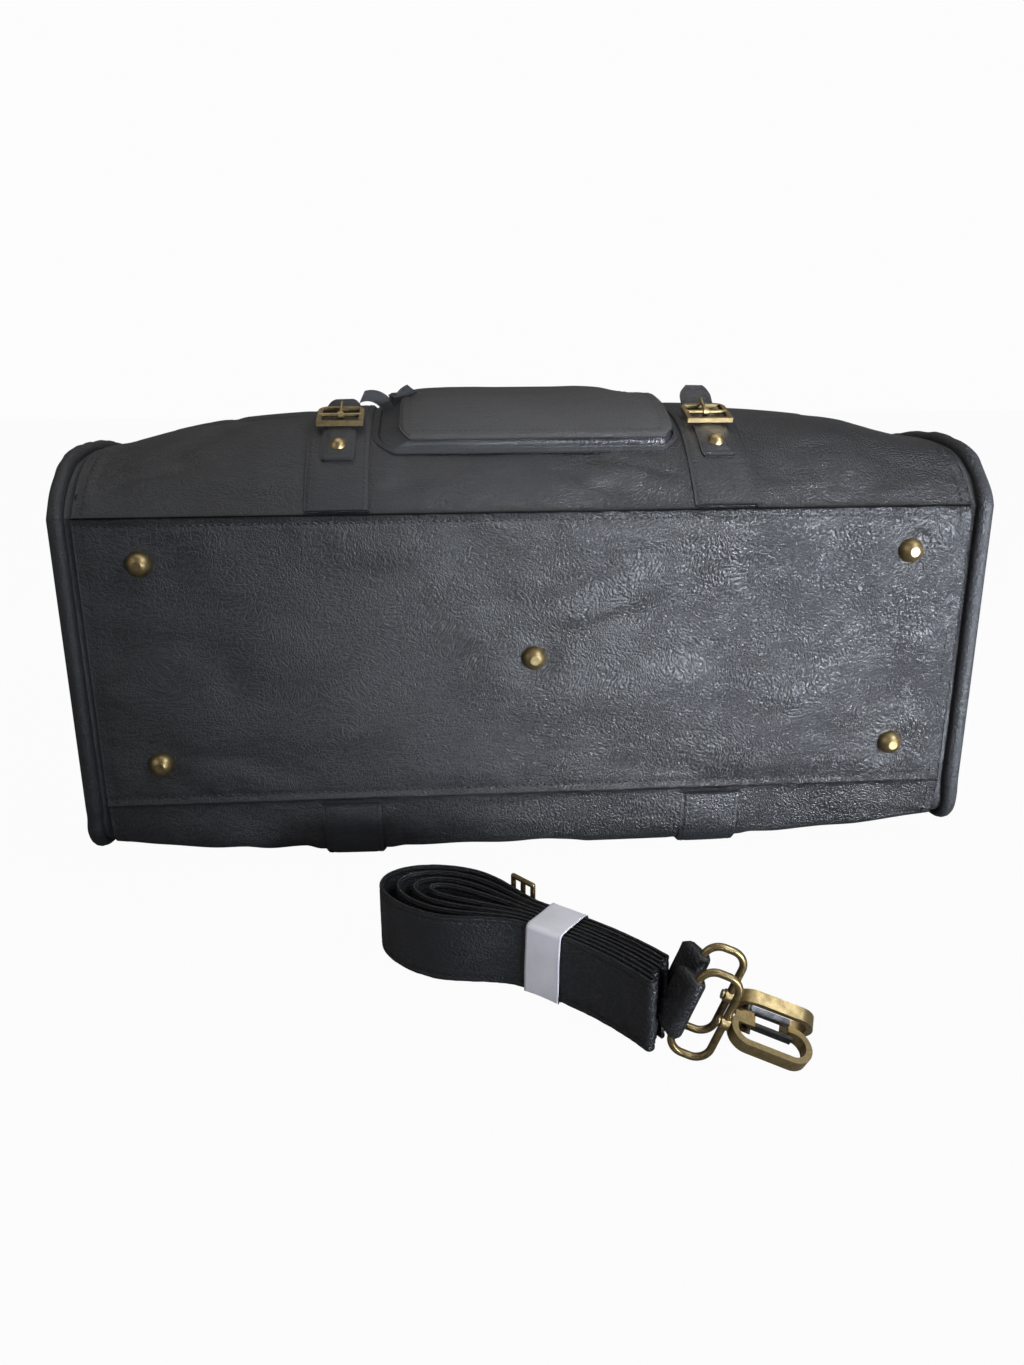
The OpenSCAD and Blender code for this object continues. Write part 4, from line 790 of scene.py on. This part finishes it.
def end_pocket(side):
    zs = np.linspace(-48, 48, 60)
    ys = np.linspace(72, 196, 70)
    y, z = np.meshgrid(ys, zs, indexing="ij")
    e = np.minimum(48 - np.abs(z), y - 72)
    p = np.stack([0 * y + side * 17, y, z], -1)
    lift = 0.3 + 7 * step(0.5, 7, e) + np.clip(1.2 * lumps(p, 34, 3.2), -0.4, 1.2) * step(6, 16, e)
    hem = 0.8 * step(12, 10.5, 196 - y) * step(3, 6, e)
    x = 249.8 + crown(6 + y, z)
    groove = 0.5 * np.exp(-((e - 3.2) / 0.7) ** 2)
    outer = np.stack([x + lift + 1.8 + hem - groove, 6 + y, z], -1)
    inner = np.stack([x + 0.3 + 7 * step(0.5, 7, e), 6 + y, z], -1)
    body = shell(outer, inner)
    body = (body[0], [f[::-1] for f in body[1]])
    edge = np.concatenate([outer[::-1, 2], outer[2, 3:-3], outer[:, -3]])
    sewn = joined(stitches(edge, (1, 0, 0), 3.4, 2.4, 0.7), stitches(outer[-7, 5:-5], (1, 0, 0), 3.4, 2.4, 0.7))
    if side < 0:
        body, sewn = mirrored(body, 0), mirrored(sewn, 0)
    return body, sewn


for side, tag in ((-1, "left"), (1, "right")):
    body, sewn = end_pocket(side)
    build(f"end_pocket_{tag}_skin", *body, body_leather, "bag", "leather", [f"end_pocket_{tag}"])
    build(f"end_pocket_{tag}_stitching", *sewn, thread, "bag", "leather_trim")

# D-ring tabs: a strip folded round the ring's bar and sewn back on itself
low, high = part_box("dee_tabs")
dee_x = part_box("dee_ring_right")[0][0] * 1000 + 1.8
tabs, sewn = [], []
ys = np.linspace(204, 252.5, 40)
zs = np.linspace(-11, 11, 14)
y, z = np.meshgrid(ys, zs, indexing="ij")
face = 249.8 + crown(6 + y, z)
e = 11 - np.abs(z)
outer = np.stack([face + 2.2 - 0.9 * step(0.8, 0, e) - 0.3 * np.exp(-((e - 2.6) / 0.6) ** 2), 6 + y, z], -1)
inner = np.stack([face + 0.3, 6 + y, z], -1)
tab = shell(outer, inner)
tab = (tab[0], [f[::-1] for f in tab[1]])
a = np.linspace(0, 2 * math.pi, 33)[:-1]
rolls = []
for r in (3.5, 1.9):
    rolls.append(np.stack([np.stack([dee_x + r * np.cos(a), 262 + r * np.sin(a), 0 * a + w], -1)
                           for w in np.linspace(-11, 11, 12)]))
n = len(a)
faces = grid_faces(12, n, True) + [[v + 12 * n for v in f[::-1]] for f in grid_faces(12, n, True)]
for r in (0, 11):
    for c in range(n):
        f = [r * n + c, r * n + (c + 1) % n, 12 * n + r * n + (c + 1) % n, 12 * n + r * n + c]
        faces.append(f if r else f[::-1])
roll = (np.concatenate([rolls[0].reshape(-1, 3), rolls[1].reshape(-1, 3)]), faces)
for side in (-1, 1):
    tabs.append(joined(tab, roll) if side > 0 else mirrored(joined(tab, roll), 0))
    row = joined(stitches(outer[2:-2, 2], (1, 0, 0), 3.0, 2.1, 0.7), stitches(outer[2:-2, 11], (1, 0, 0), 3.0, 2.1, 0.7))
    sewn.append(row if side > 0 else mirrored(row, 0))
build("dee_tab_leather", *joined(*tabs), strap_leather, "bag", "leather_trim", ["dee_tabs"])
build("dee_tab_stitching", *joined(*sewn), thread, "bag", "leather_trim")

# --- Top and zip ---
# The top is two leather lips, hinged at the folds, on either side of a long brass-pulled zip
# with black coil teeth; past the zip's ends the leather is closed and a tab covers the tape.


def lip_grid(x0, x1, n):
    xs = np.linspace(x0, x1, n)
    zs = np.linspace(8, 64.4, 40)
    x, z = np.meshgrid(xs, zs, indexing="ij")
    e = z - 8
    p = np.stack([x, 0 * x, z], -1)
    free = step(x0, x0 + 8, x) * step(x1, x1 - 8, x) * step(64, 56, z) * step(10, 18, z)
    sink = np.clip(1.0 * lumps(p, 30, 2.4) - 0.6, -2.0, 0) * free
    edge = 0.5 * step(2.5, 0, e) + 0.35 * np.exp(-((e - 3.2) / 0.7) ** 2)
    outer = np.stack([x, top_y(z) + sink - edge, z], -1)
    inner = np.stack([x, top_y(z) - 2.4, z], -1)
    return outer, inner


def teeth(x0, x1):
    """One row of a coil zip: small bent bars, side by side along the tape's edge."""
    xs = np.arange(x0 + 0.7, x1, 1.4)
    a = np.linspace(0, 2 * math.pi, 9)[:-1]
    ring = np.stack([0.55 * np.cos(a), 1.25 * np.sin(a)], -1)
    points, faces = [], []
    for k, x in enumerate(xs):
        for z, g in ((1.0, 0.55), (1.4, 1.0), (2.6, 1.0), (3.2, 0.5)):
            points.append(np.stack([x + g * ring[:, 0], 291.9 + g * ring[:, 1], 0 * a + z], -1))
        b = k * 32
        faces += [[b + v for v in f] for f in grid_faces(4, 8, True)] + [[b + i for i in range(8)][::-1]]
    return np.concatenate(points), faces


for back, word in ((False, "front"), (True, "back")):
    outer, inner = lip_grid(-202, 202, 200)
    part = shell(outer, inner)
    part = (part[0], [f[::-1] for f in part[1]])
    part = (part[0], [f[::-1] for f in part[1]])
    row = stitches(outer[4:-4, 2], (0, 1, 0), 3.4, 2.4, 0.7)
    tape_z, tape_x = np.meshgrid(np.linspace(1.4, 14.4, 8), np.linspace(-202, 202, 60))
    tape = shell(np.stack([tape_x, 0 * tape_x + 292.5, tape_z], -1), np.stack([tape_x, 0 * tape_x + 291.3, tape_z], -1))
    coil = joined(teeth(-202, 202), tape)
    if back:
        part, row, coil = mirrored(part, 2), mirrored(row, 2), mirrored(coil, 2)
    build(f"lip_{word}_leather", *part, body_leather, f"lip_{word}", "leather", [f"lip_{word}"])
    build(f"lip_{word}_stitching", *row, thread, f"lip_{word}", "leather_trim")
    build(f"zip_{word}_tape_and_coil", *coil, zip_mat, f"lip_{word}", "zip_tape", [f"zip_tape_{word}"])

for side, tag in ((-1, "left"), (1, "right")):
    outer, inner = lip_grid(202.6, 242, 24)
    wing = shell(outer, inner)
    pair = joined(wing, mirrored(wing, 2))
    tx, tz = np.meshgrid(np.linspace(227, 242, 16), np.linspace(-14, 14, 28), indexing="ij")
    e = np.minimum(np.minimum(tx - 227, 242 - tx), 14 - np.abs(tz))
    upper = np.stack([tx, 297.5 - 0.9 * step(0.9, 0, e) - 0.25 * np.exp(-((e - 2.4) / 0.6) ** 2), tz], -1)
    lower = np.stack([tx, 0 * tx + 296.3, tz], -1)
    tab = shell(upper, lower)
    sewn = joined(stitches(upper[2], (0, 1, 0), 3.0, 2.1, 0.7), stitches(upper[:, 2], (0, 1, 0), 3.0, 2.1, 0.7),
                  stitches(upper[:, -3], (0, 1, 0), 3.0, 2.1, 0.7))
    if side < 0:
        pair, tab, sewn = mirrored(pair, 0), mirrored(tab, 0), mirrored(sewn, 0)
    build(f"top_end_{tag}_leather", *pair, body_leather, "bag", "leather", [f"top_end_{tag}"])
    build(f"zip_tab_{tag}_leather", *tab, strap_leather, "bag", "leather_trim", [f"zip_tab_{tag}"])
    build(f"zip_tab_{tag}_stitching", *sewn, thread, "bag", "leather_trim")

# --- Handles ---
# Two arched handles: flat sewn ends looped on rectangular brass rings, rolled round a core into
# a grip whose seam is closed by a row of stitches on its inner side.


def loop_centre(front):
    p = skin_at(105.0, front, s_at(105.0, front, 244.0), 0.3 + 3.48)
    return float(p[1]), abs(float(p[2]))


def roll(centre_y, centre_z, x, width, r_out, r_in, tail):
    """Leather folded round a bar along X, in two layers; tail is not used."""
    a = np.linspace(0, 2 * math.pi, 41)[:-1]
    u = np.linspace(-width / 2, width / 2, 12)
    grids = []
    for r in (r_out, r_in):
        grids.append(np.stack([np.stack([0 * a + x + w, centre_y + r * np.sin(a), centre_z + r * np.cos(a)], -1) for w in u]))
    n = len(a)
    m = len(u)
    faces = grid_faces(m, n, True) + [[v + m * n for v in f[::-1]] for f in grid_faces(m, n, True)]
    for q in (0, m - 1):
        for c in range(n):
            f = [q * n + c, q * n + (c + 1) % n, m * n + q * n + (c + 1) % n, m * n + q * n + c]
            faces.append(f if q else f[::-1])
    return np.concatenate([grids[0].reshape(-1, 3), grids[1].reshape(-1, 3)]), faces


def handle_mid(a, front):
    cy, cz = loop_centre(front)
    sag = 24 if front else 125.7 - cz - 5.5 - 0.8
    sa = np.maximum(0, np.sin(a))
    return np.stack([-105 * np.cos(a), cy + 13 + 3.6 + 1.88 + 2.2 + 118 * sa ** 0.55, cz + sag * sa ** 0.8], -1)


def handle(front):
    a = np.linspace(0.0, math.pi, 220)
    path = handle_mid(a, front)
    run = np.concatenate([[0], np.cumsum(np.linalg.norm(np.diff(path, axis=0), axis=1))])
    at = np.linspace(0, run[-1], 240)
    path = np.stack([np.interp(at, run, path[:, i]) for i in range(3)], -1)
    for _ in range(6):
        path[1:-1] = (path[:-2] + 2 * path[1:-1] + path[2:]) / 4
    far = np.minimum(at, run[-1] - at)
    grip = step(18, 62, far)
    wide = 13.3 * (1 - grip) + 5.4 * grip
    thick = 1.9 * (1 - grip) + 5.4 * grip
    d = unit(np.gradient(path, axis=0))
    side = unit(np.cross(d, np.array([0, 0, 1.0])))
    up = np.cross(side, d)
    k = np.linspace(0, 2 * math.pi, 28, endpoint=False)
    c, sn = np.cos(k), np.sin(k)
    power = 0.55 + 0.45 * grip[:, None]
    rx = np.sign(c)[None] * np.abs(c)[None] ** power
    ry = np.sign(sn)[None] * np.abs(sn)[None] ** power
    dent = 1 - 0.1 * np.exp(-((k - math.pi) / 0.16) ** 2)[None] * grip[:, None]
    rx = rx * dent
    puck = 1 + 0.02 * lumps(path, 7, 2.6)[:, None]
    points = path[:, None] + side[:, None] * (rx * wide[:, None] * puck)[..., None] + up[:, None] * (ry * thick[:, None] * puck)[..., None]
    n = len(path)
    body = (points.reshape(-1, 3), grid_faces(n, 28, True) + [list(range(28))[::-1], [(n - 1) * 28 + i for i in range(28)]])
    mid = (far > 60)
    inner = (path - side * (wide * 0.93)[:, None])[mid]
    sewn = [stitches(inner, -side[len(side) // 2] * 0 + np.array([0, -1, 0]), 3.6, 2.5, 0.8)]
    for sgn in (-0.8, 0.8):
        for part in (slice(4, 30), slice(-30, -4)):
            q = (path + side * (sgn * wide)[:, None] + up * (thick * 0.98)[:, None])[part]
            sewn.append(stitches(q, up[n // 2], 3.2, 2.3, 0.75))
    cy, cz = loop_centre(front)
    rolls = [roll(cy + 16.6, cz, s * 105, 26.6, 3.78, 1.88, 0) for s in (-1, 1)]
    return joined(body, *rolls), joined(*sewn)


for front, word in ((True, "front"), (False, "back")):
    body, sewn = handle(front)
    cy, cz = loop_centre(front)
    loops = joined(*[roll(cy, cz, s * 105, 32.5, 3.48, 1.88, 0) for s in (-1, 1)])
    if not front:
        body, sewn, loops = mirrored(body, 2), mirrored(sewn, 2), mirrored(loops, 2)
    build(f"handle_{word}_leather", *body, strap_leather, f"handle_{word}", "leather_trim", [f"handle_{word}"])
    build(f"handle_{word}_stitching", *sewn, thread, f"handle_{word}", "leather_trim")
    build(f"ring_loops_{word}_leather", *loops, strap_leather, "bag", "leather_trim", [f"ring_loops_{word}"])

# --- Shoulder strap ---
# A flat leather strap, edge-stitched on both sides, folded into eight layers for packing and
# standing on its edge. Its loops on the left stay open; the right end is tightly folded.
lay_from, lay_band, lay_to = np.array([-87.0, -72.0]), np.array([-5.0, -120.0]), np.array([43.0, -173.0])
lay_bend = 2 * lay_band - (lay_from + lay_to) / 2


def lay_dir(t):
    d = (1 - t) * (lay_bend - lay_from) + t * (lay_to - lay_bend)
    return d / np.linalg.norm(d)


def lay(t, n):
    mid = (1 - t) ** 2 * lay_from + 2 * t * (1 - t) * lay_bend + t * t * lay_to
    d = lay_dir(t)
    return mid + n * np.array([-d[1], d[0]])


def pressed(i):
    return (4.5 - i) * 2.85


def spread(i):
    return math.copysign(5.2 + 6.2 * (abs(4.5 - i) - 0.5), 4.5 - i)


def place(i, t):
    return pressed(i) + (spread(i) - pressed(i)) * float(step(0, 1, (0.46 - t) / 0.26))


def layer(i, end, back):
    ts = np.linspace(end, 0.205, 90)
    ts = ts if back else ts[::-1]
    return [lay(t, place(i, t)) for t in ts]


def left_loop(i):
    w = spread(i)
    return [lay(0.2 - (0.02 + 0.0068 * abs(w)) * math.sin(a), w * math.cos(a)) for a in np.linspace(0.04, math.pi - 0.04, 40)]


def right_fold(i, j, end):
    m, r = (pressed(i) + pressed(j)) / 2, (pressed(i) - pressed(j)) / 2
    return [lay(end + 0.013 * math.sin(a), m + r * math.cos(a)) for a in np.linspace(0.2, math.pi - 0.2, 14)]


route = np.array(layer(1, 0.9, True) + left_loop(1) + layer(8, 0.97, False) + right_fold(8, 7, 0.97)
                 + layer(7, 0.97, True) + left_loop(7) + layer(2, 0.9, False) + right_fold(2, 3, 0.9)
                 + layer(3, 0.9, True) + left_loop(3) + layer(6, 0.93, False) + right_fold(6, 5, 0.93)
                 + layer(5, 0.93, True) + left_loop(5) + layer(4, 0.955, False))
for _ in range(3):
    route[1:-1] = (route[:-2] + 2 * route[1:-1] + route[2:]) / 4
d = unit(np.gradient(route, axis=0))
n = np.stack([-d[:, 1], d[:, 0]], -1)
run = np.concatenate([[0], np.cumsum(np.linalg.norm(np.diff(route, axis=0), axis=1))])
hs = np.concatenate([np.linspace(0, 5, 9), np.linspace(6, 29, 12), np.linspace(30, 35, 9)])
thick = 1.2 - 0.35 * np.exp(-((np.minimum(hs, 35 - hs) - 2.8) / 0.7) ** 2) - 0.5 * step(0.8, 0, np.minimum(hs, 35 - hs))
lean = 0.5 * lumps(np.stack([run, 0 * run, 0 * run], -1), 70, 2.2)
rise = 0.5 + 0.45 * lumps(np.stack([run, 0 * run, 0 * run], -1), 90, 6.2)
fuzz = 0.16 * lumps(np.stack([run[:, None] + 0 * hs, 0 * run[:, None] + hs, 0 * run[:, None] + 0 * hs], -1), 2.2, 1.3)
sides = []
for sign in (1, -1):
    w = sign * thick[None] + lean[:, None] * 0.25 * np.sin(math.pi * hs / 35)[None] + fuzz * 0.5
    xy = route[:, None] + n[:, None] * w[..., None]
    zz = GROUND + 0.45 + rise[:, None] + hs[None] * (1 - 0.004 * rise[:, None]) + 0 * run[:, None] + fuzz
    sides.append(np.concatenate([xy, zz[..., None]], -1))
part = shell(sides[0], sides[1])
suede_edge = strap_leather
build("shoulder_strap_leather", part[0], [f[::-1] for f in part[1]], strap_leather, "shoulder_strap", "leather_trim", ["shoulder_strap"])
rows = []
for sign in (1, -1):
    for k in (5, len(hs) - 6):
        grid = sides[0] if sign > 0 else sides[1]
        spots = grid[:, k]
        sp, sd = along(spots, 3.4)
        sn = np.stack([-sd[:, 1], sd[:, 0], 0 * sd[:, 0]], -1) * sign
        rows.append(stitches(spots, (lambda v: (lambda p: v))(sn), 3.4, 2.5, 0.85))
build("shoulder_strap_stitching", *joined(*rows), thread, "shoulder_strap", "leather_trim")

# Paper band: a strip of plain off-white paper wrapped tightly round the pressed layers
paper_mat = plain("band_paper", (0.68, 0.66, 0.7), 0.75, 60.0, 0.25)
centre = lay(0.53, 0.0)
d = lay_dir(0.53)
side = np.array([-d[1], d[0]])
half_n, low, high = 12.2, 0.35, 36.7
corner = 2.6
ring = []
for cx, cz, a0 in ((half_n - corner, high - corner, 0), (-half_n + corner, high - corner, 90),
                   (-half_n + corner, low + corner * 0.4, 180), (half_n - corner, low + corner * 0.4, 270)):
    r2 = 1.0 if cz > 20 else 0.4
    for a in np.radians(np.linspace(a0, a0 + 90, 9)):
        ring.append((cx + corner * math.cos(a), cz + corner * r2 * math.sin(a)))
ring = np.array(ring)
dense = []
for a, b in zip(ring, np.roll(ring, -1, 0)):
    m = max(1, int(np.linalg.norm(b - a) / 1.2))
    dense += [a + (b - a) * k / m for k in range(m)]
ring = np.array(dense)
us = np.linspace(-9.5, 9.5, 20)
layers = []
for off in (0.45, 0.1):
    g = []
    for u in us:
        out = unit(ring - np.array([0, 18.0]))
        q = np.stack([ring[:, 0], 0 * ring[:, 0] + u, ring[:, 1]], -1)
        w = off + 0.4 * lumps(q, 13, 3.1) * (1 if off > 0.3 else 1) + 0.15 * (abs(u) / 9.5) ** 4
        rr = ring + out * np.maximum(w, off - 0.35)[:, None]
        skew = 0.06 * (rr[:, 1] - 18) * 0.5
        xy = centre[None] + (u + skew)[:, None] * d[None] + rr[:, 0][:, None] * side[None]
        g.append(np.concatenate([xy, (GROUND + np.maximum(0.15, rr[:, 1]))[:, None]], -1))
    layers.append(np.array(g))
rows_n, cols_n = layers[0].shape[:2]
half = rows_n * cols_n
faces = grid_faces(rows_n, cols_n, True) + [[v + half for v in f[::-1]] for f in grid_faces(rows_n, cols_n, True)]
for q in (0, rows_n - 1):
    for c in range(cols_n):
        f = [q * cols_n + c, q * cols_n + (c + 1) % cols_n, half + q * cols_n + (c + 1) % cols_n, half + q * cols_n + c]
        faces.append(f if q else f[::-1])
build("paper_band_wrap", np.concatenate([layers[0].reshape(-1, 3), layers[1].reshape(-1, 3)]), faces, paper_mat,
      "shoulder_strap", "paper", ["paper_band"])

# Strap ends: each is folded round the inner bar of its oval ring and sewn back on itself
lean_angle = math.radians(20)


def bar_frame(bar, azimuth):
    a = math.radians(azimuth)
    x = np.array([math.cos(a) * math.cos(lean_angle), math.sin(a) * math.cos(lean_angle), -math.sin(lean_angle)])
    z = np.array([math.cos(a) * math.sin(lean_angle), math.sin(a) * math.sin(lean_angle), math.cos(lean_angle)])
    return np.array([bar[0], bar[1], GROUND + bar[2]]), x, np.cross(z, x), z


def strap_end(bar, azimuth, back):
    o, x, y, z = bar_frame(bar, azimuth)
    t = np.array([lay_dir(1.0)[0], lay_dir(1.0)[1], 0.0])
    t = unit(t - z * t.dot(z))
    v = np.cross(z, t)
    r = 3.7
    a = np.linspace(-1.75, 1.75, 30)
    nose = np.stack([r * np.cos(a), r * np.sin(a)], -1)
    m = 14
    upper = np.stack([np.linspace(nose[-1, 0], -back, m)[1:], np.linspace(nose[-1, 1], 2.0, m)[1:]], -1)
    lower = upper[::-1] * np.array([1, -1])
    ring = np.concatenate([nose, upper, lower])
    ws = np.concatenate([[-14.6, -14.2, -13.5], np.linspace(-12.6, 12.6, 24), [13.5, 14.2, 14.6]])
    rows = []
    for w in ws:
        k = 1 - 0.28 * float(step(12.8, 14.8, abs(w)))
        p = np.stack([ring[:, 0], 0 * ring[:, 0] + w, ring[:, 1]], -1)
        q = ring * k + 0.25 * unit(ring) * lumps(p, 9, 1.1)[:, None]
        rows.append(o + q[:, :1] * t + q[:, 1:] * v + w * z)
    grid = np.array(rows)
    n = len(ring)
    faces = grid_faces(len(ws), n, True) + [list(range(n))[::-1], [(len(ws) - 1) * n + i for i in range(n)]]
    sewn = []
    for w in (-12.0, 12.0):
        k = int(np.argmin(np.abs(ws - w)))
        for sl in (slice(31, 42), slice(45, 56)):
            mid = grid[k][sl]
            sign = 1 if sl.start < 40 else -1
            sewn.append(stitches(mid, v * sign, 3.2, 2.3, 0.85))
    return (grid.reshape(-1, 3), faces), joined(*sewn)


end_a, sewn_a = strap_end((47, -181.1, 26.2), -12, 11.5)
end_b, sewn_b = strap_end((52, -168.5, 30.2), -11, 11.5)
build("strap_ends_leather", *joined(end_a, end_b), strap_leather, "shoulder_strap", "leather_trim", ["strap_ends"])
build("strap_ends_stitching", *joined(sewn_a, sewn_b), thread, "shoulder_strap", "leather_trim")

# --- Brass fittings ---
# Cast and bent fittings in antique brass: satin, darkened in the hollows and rubbed bright on
# the edges; the snap hooks' gates are darkened steel.


def metal(name, dark, light, rough):
    mat = bpy.data.materials.new(name)
    mat.use_nodes = True
    tree = mat.node_tree
    shader = tree.nodes["Principled BSDF"]
    where = node(tree, "ShaderNodeTexCoord").outputs["Object"]
    cloud = node(tree, "ShaderNodeTexNoise", [("Vector", where)], i_Scale=240.0, i_Detail=4.0, i_Roughness=0.6).outputs[0]
    speck = node(tree, "ShaderNodeTexNoise", [("Vector", where)], i_Scale=1600.0, i_Detail=3.0).outputs[0]
    stretched = node(tree, "ShaderNodeMapping", [("Vector", where)], i_Scale=(300.0, 2600.0, 2600.0))
    brush = node(tree, "ShaderNodeTexNoise", [("Vector", stretched.outputs[0])], i_Scale=1.0, i_Detail=2.0).outputs[0]
    bent = node(tree, "ShaderNodeNewGeometry").outputs["Pointiness"]
    edge = ramp(tree, bent, 0.5, 0.6)
    tone = maths(tree, "ADD", ramp(tree, cloud, 0.35, 0.7, 0.0, 0.8), maths(tree, "MULTIPLY", edge, 0.5), clamp=True)
    tone = maths(tree, "MULTIPLY", tone, ramp(tree, speck, 0.3, 0.5, 0.6, 1.0))
    tree.links.new(blend_colour(tree, tone, (*dark, 1), (*light, 1)), shader.inputs["Base Color"])
    rough_v = maths(tree, "ADD", rough, maths(tree, "MULTIPLY", maths(tree, "SUBTRACT", cloud, 0.5), -0.35))
    tree.links.new(rough_v, shader.inputs["Roughness"])
    b = node(tree, "ShaderNodeBump", [("Height", maths(tree, "ADD", brush, speck))], i_Strength=0.12, i_Distance=0.0002)
    tree.links.new(b.outputs[0], shader.inputs["Normal"])
    shader.inputs["Metallic"].default_value = 1.0
    return mat


brass = metal("antique_brass", (0.15, 0.11, 0.05), (0.42, 0.32, 0.16), 0.42)
dark_steel = metal("dark_steel", (0.03, 0.03, 0.032), (0.12, 0.12, 0.125), 0.32)
for name in ("feet", "foot_washers", "buckle_left", "buckle_right", "prong_left", "prong_right", "tab_rivets",
             "zip_slider", "zip_puller", "pocket_slider", "handle_rings_front", "handle_rings_back",
             "dee_ring_left", "dee_ring_right", "strap_adjuster", "oval_ring_a", "oval_ring_b",
             "hook_a", "hook_b", "gate_a", "gate_b"):
    piece = nodes[name]
    piece.data.materials.clear()
    piece.data.materials.append(dark_steel if name.startswith("gate") else brass)
    if name.startswith(("buckle", "hook", "gate", "zip_", "pocket_slider")):
        soft = piece.modifiers.new("edges", "BEVEL")
        soft.width = 0.00045
        soft.segments = 3
        soft.limit_method = "ANGLE"
        soft.angle_limit = math.radians(38)
        soft.harden_normals = True

# --- Floor, light and camera ---
# A white sweep, broad soft lights and one cooler window light from the right, which the
# crackled leather scatters into speckled highlights.
floor_mat = bpy.data.materials.new("white_floor")
floor_mat.use_nodes = True
tree = floor_mat.node_tree
shader = tree.nodes["Principled BSDF"]
shader.inputs["Base Color"].default_value = (0.24, 0.24, 0.24, 1)
shader.inputs["Roughness"].default_value = 0.9
shader.inputs["Specular IOR Level"].default_value = 0.0
seen = node(tree, "ShaderNodeLightPath").outputs["Is Camera Ray"]
glow = node(tree, "ShaderNodeEmission", i_Strength=1.0)
mix = node(tree, "ShaderNodeMixShader", [(0, maths(tree, "MULTIPLY", seen, 0.965)), (1, shader.outputs[0]), (2, glow.outputs[0])])
tree.links.new(mix.outputs[0], tree.nodes["Material Output"].inputs[0])
mesh = bpy.data.meshes.new("floor")
mesh.from_pydata([(-4, -4, GROUND / 1000 - 0.0002), (4, -4, GROUND / 1000 - 0.0002), (4, 4, GROUND / 1000 - 0.0002),
                  (-4, 4, GROUND / 1000 - 0.0002)], [], [(0, 1, 2, 3)])
floor = bpy.data.objects.new("floor", mesh)
floor.data.materials.append(floor_mat)
bpy.context.scene.collection.objects.link(floor)

world = bpy.data.worlds.new("studio")
bpy.context.scene.world = world
world.use_nodes = True
tree = world.node_tree
back = tree.nodes["Background"]
back.inputs["Strength"].default_value = 1.0
seen = node(tree, "ShaderNodeLightPath").outputs["Is Camera Ray"]
tree.links.new(blend_colour(tree, seen, (0.16, 0.16, 0.163, 1), (0.98, 0.98, 0.98, 1)), back.inputs["Color"])


def area(name, where, target, size, power, colour, spread=180.0):
    light = bpy.data.lights.new(name, "AREA")
    light.shape = "RECTANGLE"
    light.size, light.size_y = size
    light.energy = power
    light.color = colour
    light.spread = math.radians(spread)
    obj = bpy.data.objects.new(name, light)
    bpy.context.scene.collection.objects.link(obj)
    obj.location = where
    obj.rotation_euler = (Vector(target) - Vector(where)).to_track_quat("-Z", "Y").to_euler()


area("window", (0.8, -1.2, 0.0), (0.17, 0.0, 0.05), (0.3, 0.26), 2.0, (0.84, 0.91, 1.0), 26.0)
area("window_high", (0.75, -0.6, 0.95), (0.1, 0.1, 0.0), (0.4, 0.4), 8, (0.86, 0.92, 1.0))
area("overhead", (0.1, 0.2, 1.5), (0.0, 0.0, 0.0), (1.6, 1.2), 8, (1.0, 0.985, 0.96))
area("left_fill", (-1.5, -0.9, 0.9), (-0.1, 0.0, 0.0), (1.2, 1.2), 5, (1.0, 0.98, 0.96))

cam = bpy.data.cameras.new("camera")
cam.lens = 27.69
cam.sensor_width = 36.0
cam.clip_start = 0.01
eye = bpy.data.objects.new("camera", cam)
bpy.context.scene.collection.objects.link(eye)
yaw, pitch, turn = math.radians(4.03), math.radians(17.99), math.radians(-0.27)
f = Vector((math.sin(yaw) * math.cos(pitch), math.cos(yaw) * math.cos(pitch), -math.sin(pitch)))
r = Vector((math.cos(yaw), -math.sin(yaw), 0))
u = r.cross(f)
r2 = math.cos(turn) * r + math.sin(turn) * u
u2 = -math.sin(turn) * r + math.cos(turn) * u
pose = Matrix((r2, u2, -f)).transposed().to_4x4()
pose.translation = (-0.0520, -0.5542, 0.1683)
eye.matrix_world = pose
bpy.context.scene.camera = eye
bpy.context.scene.view_settings.view_transform = "Standard"
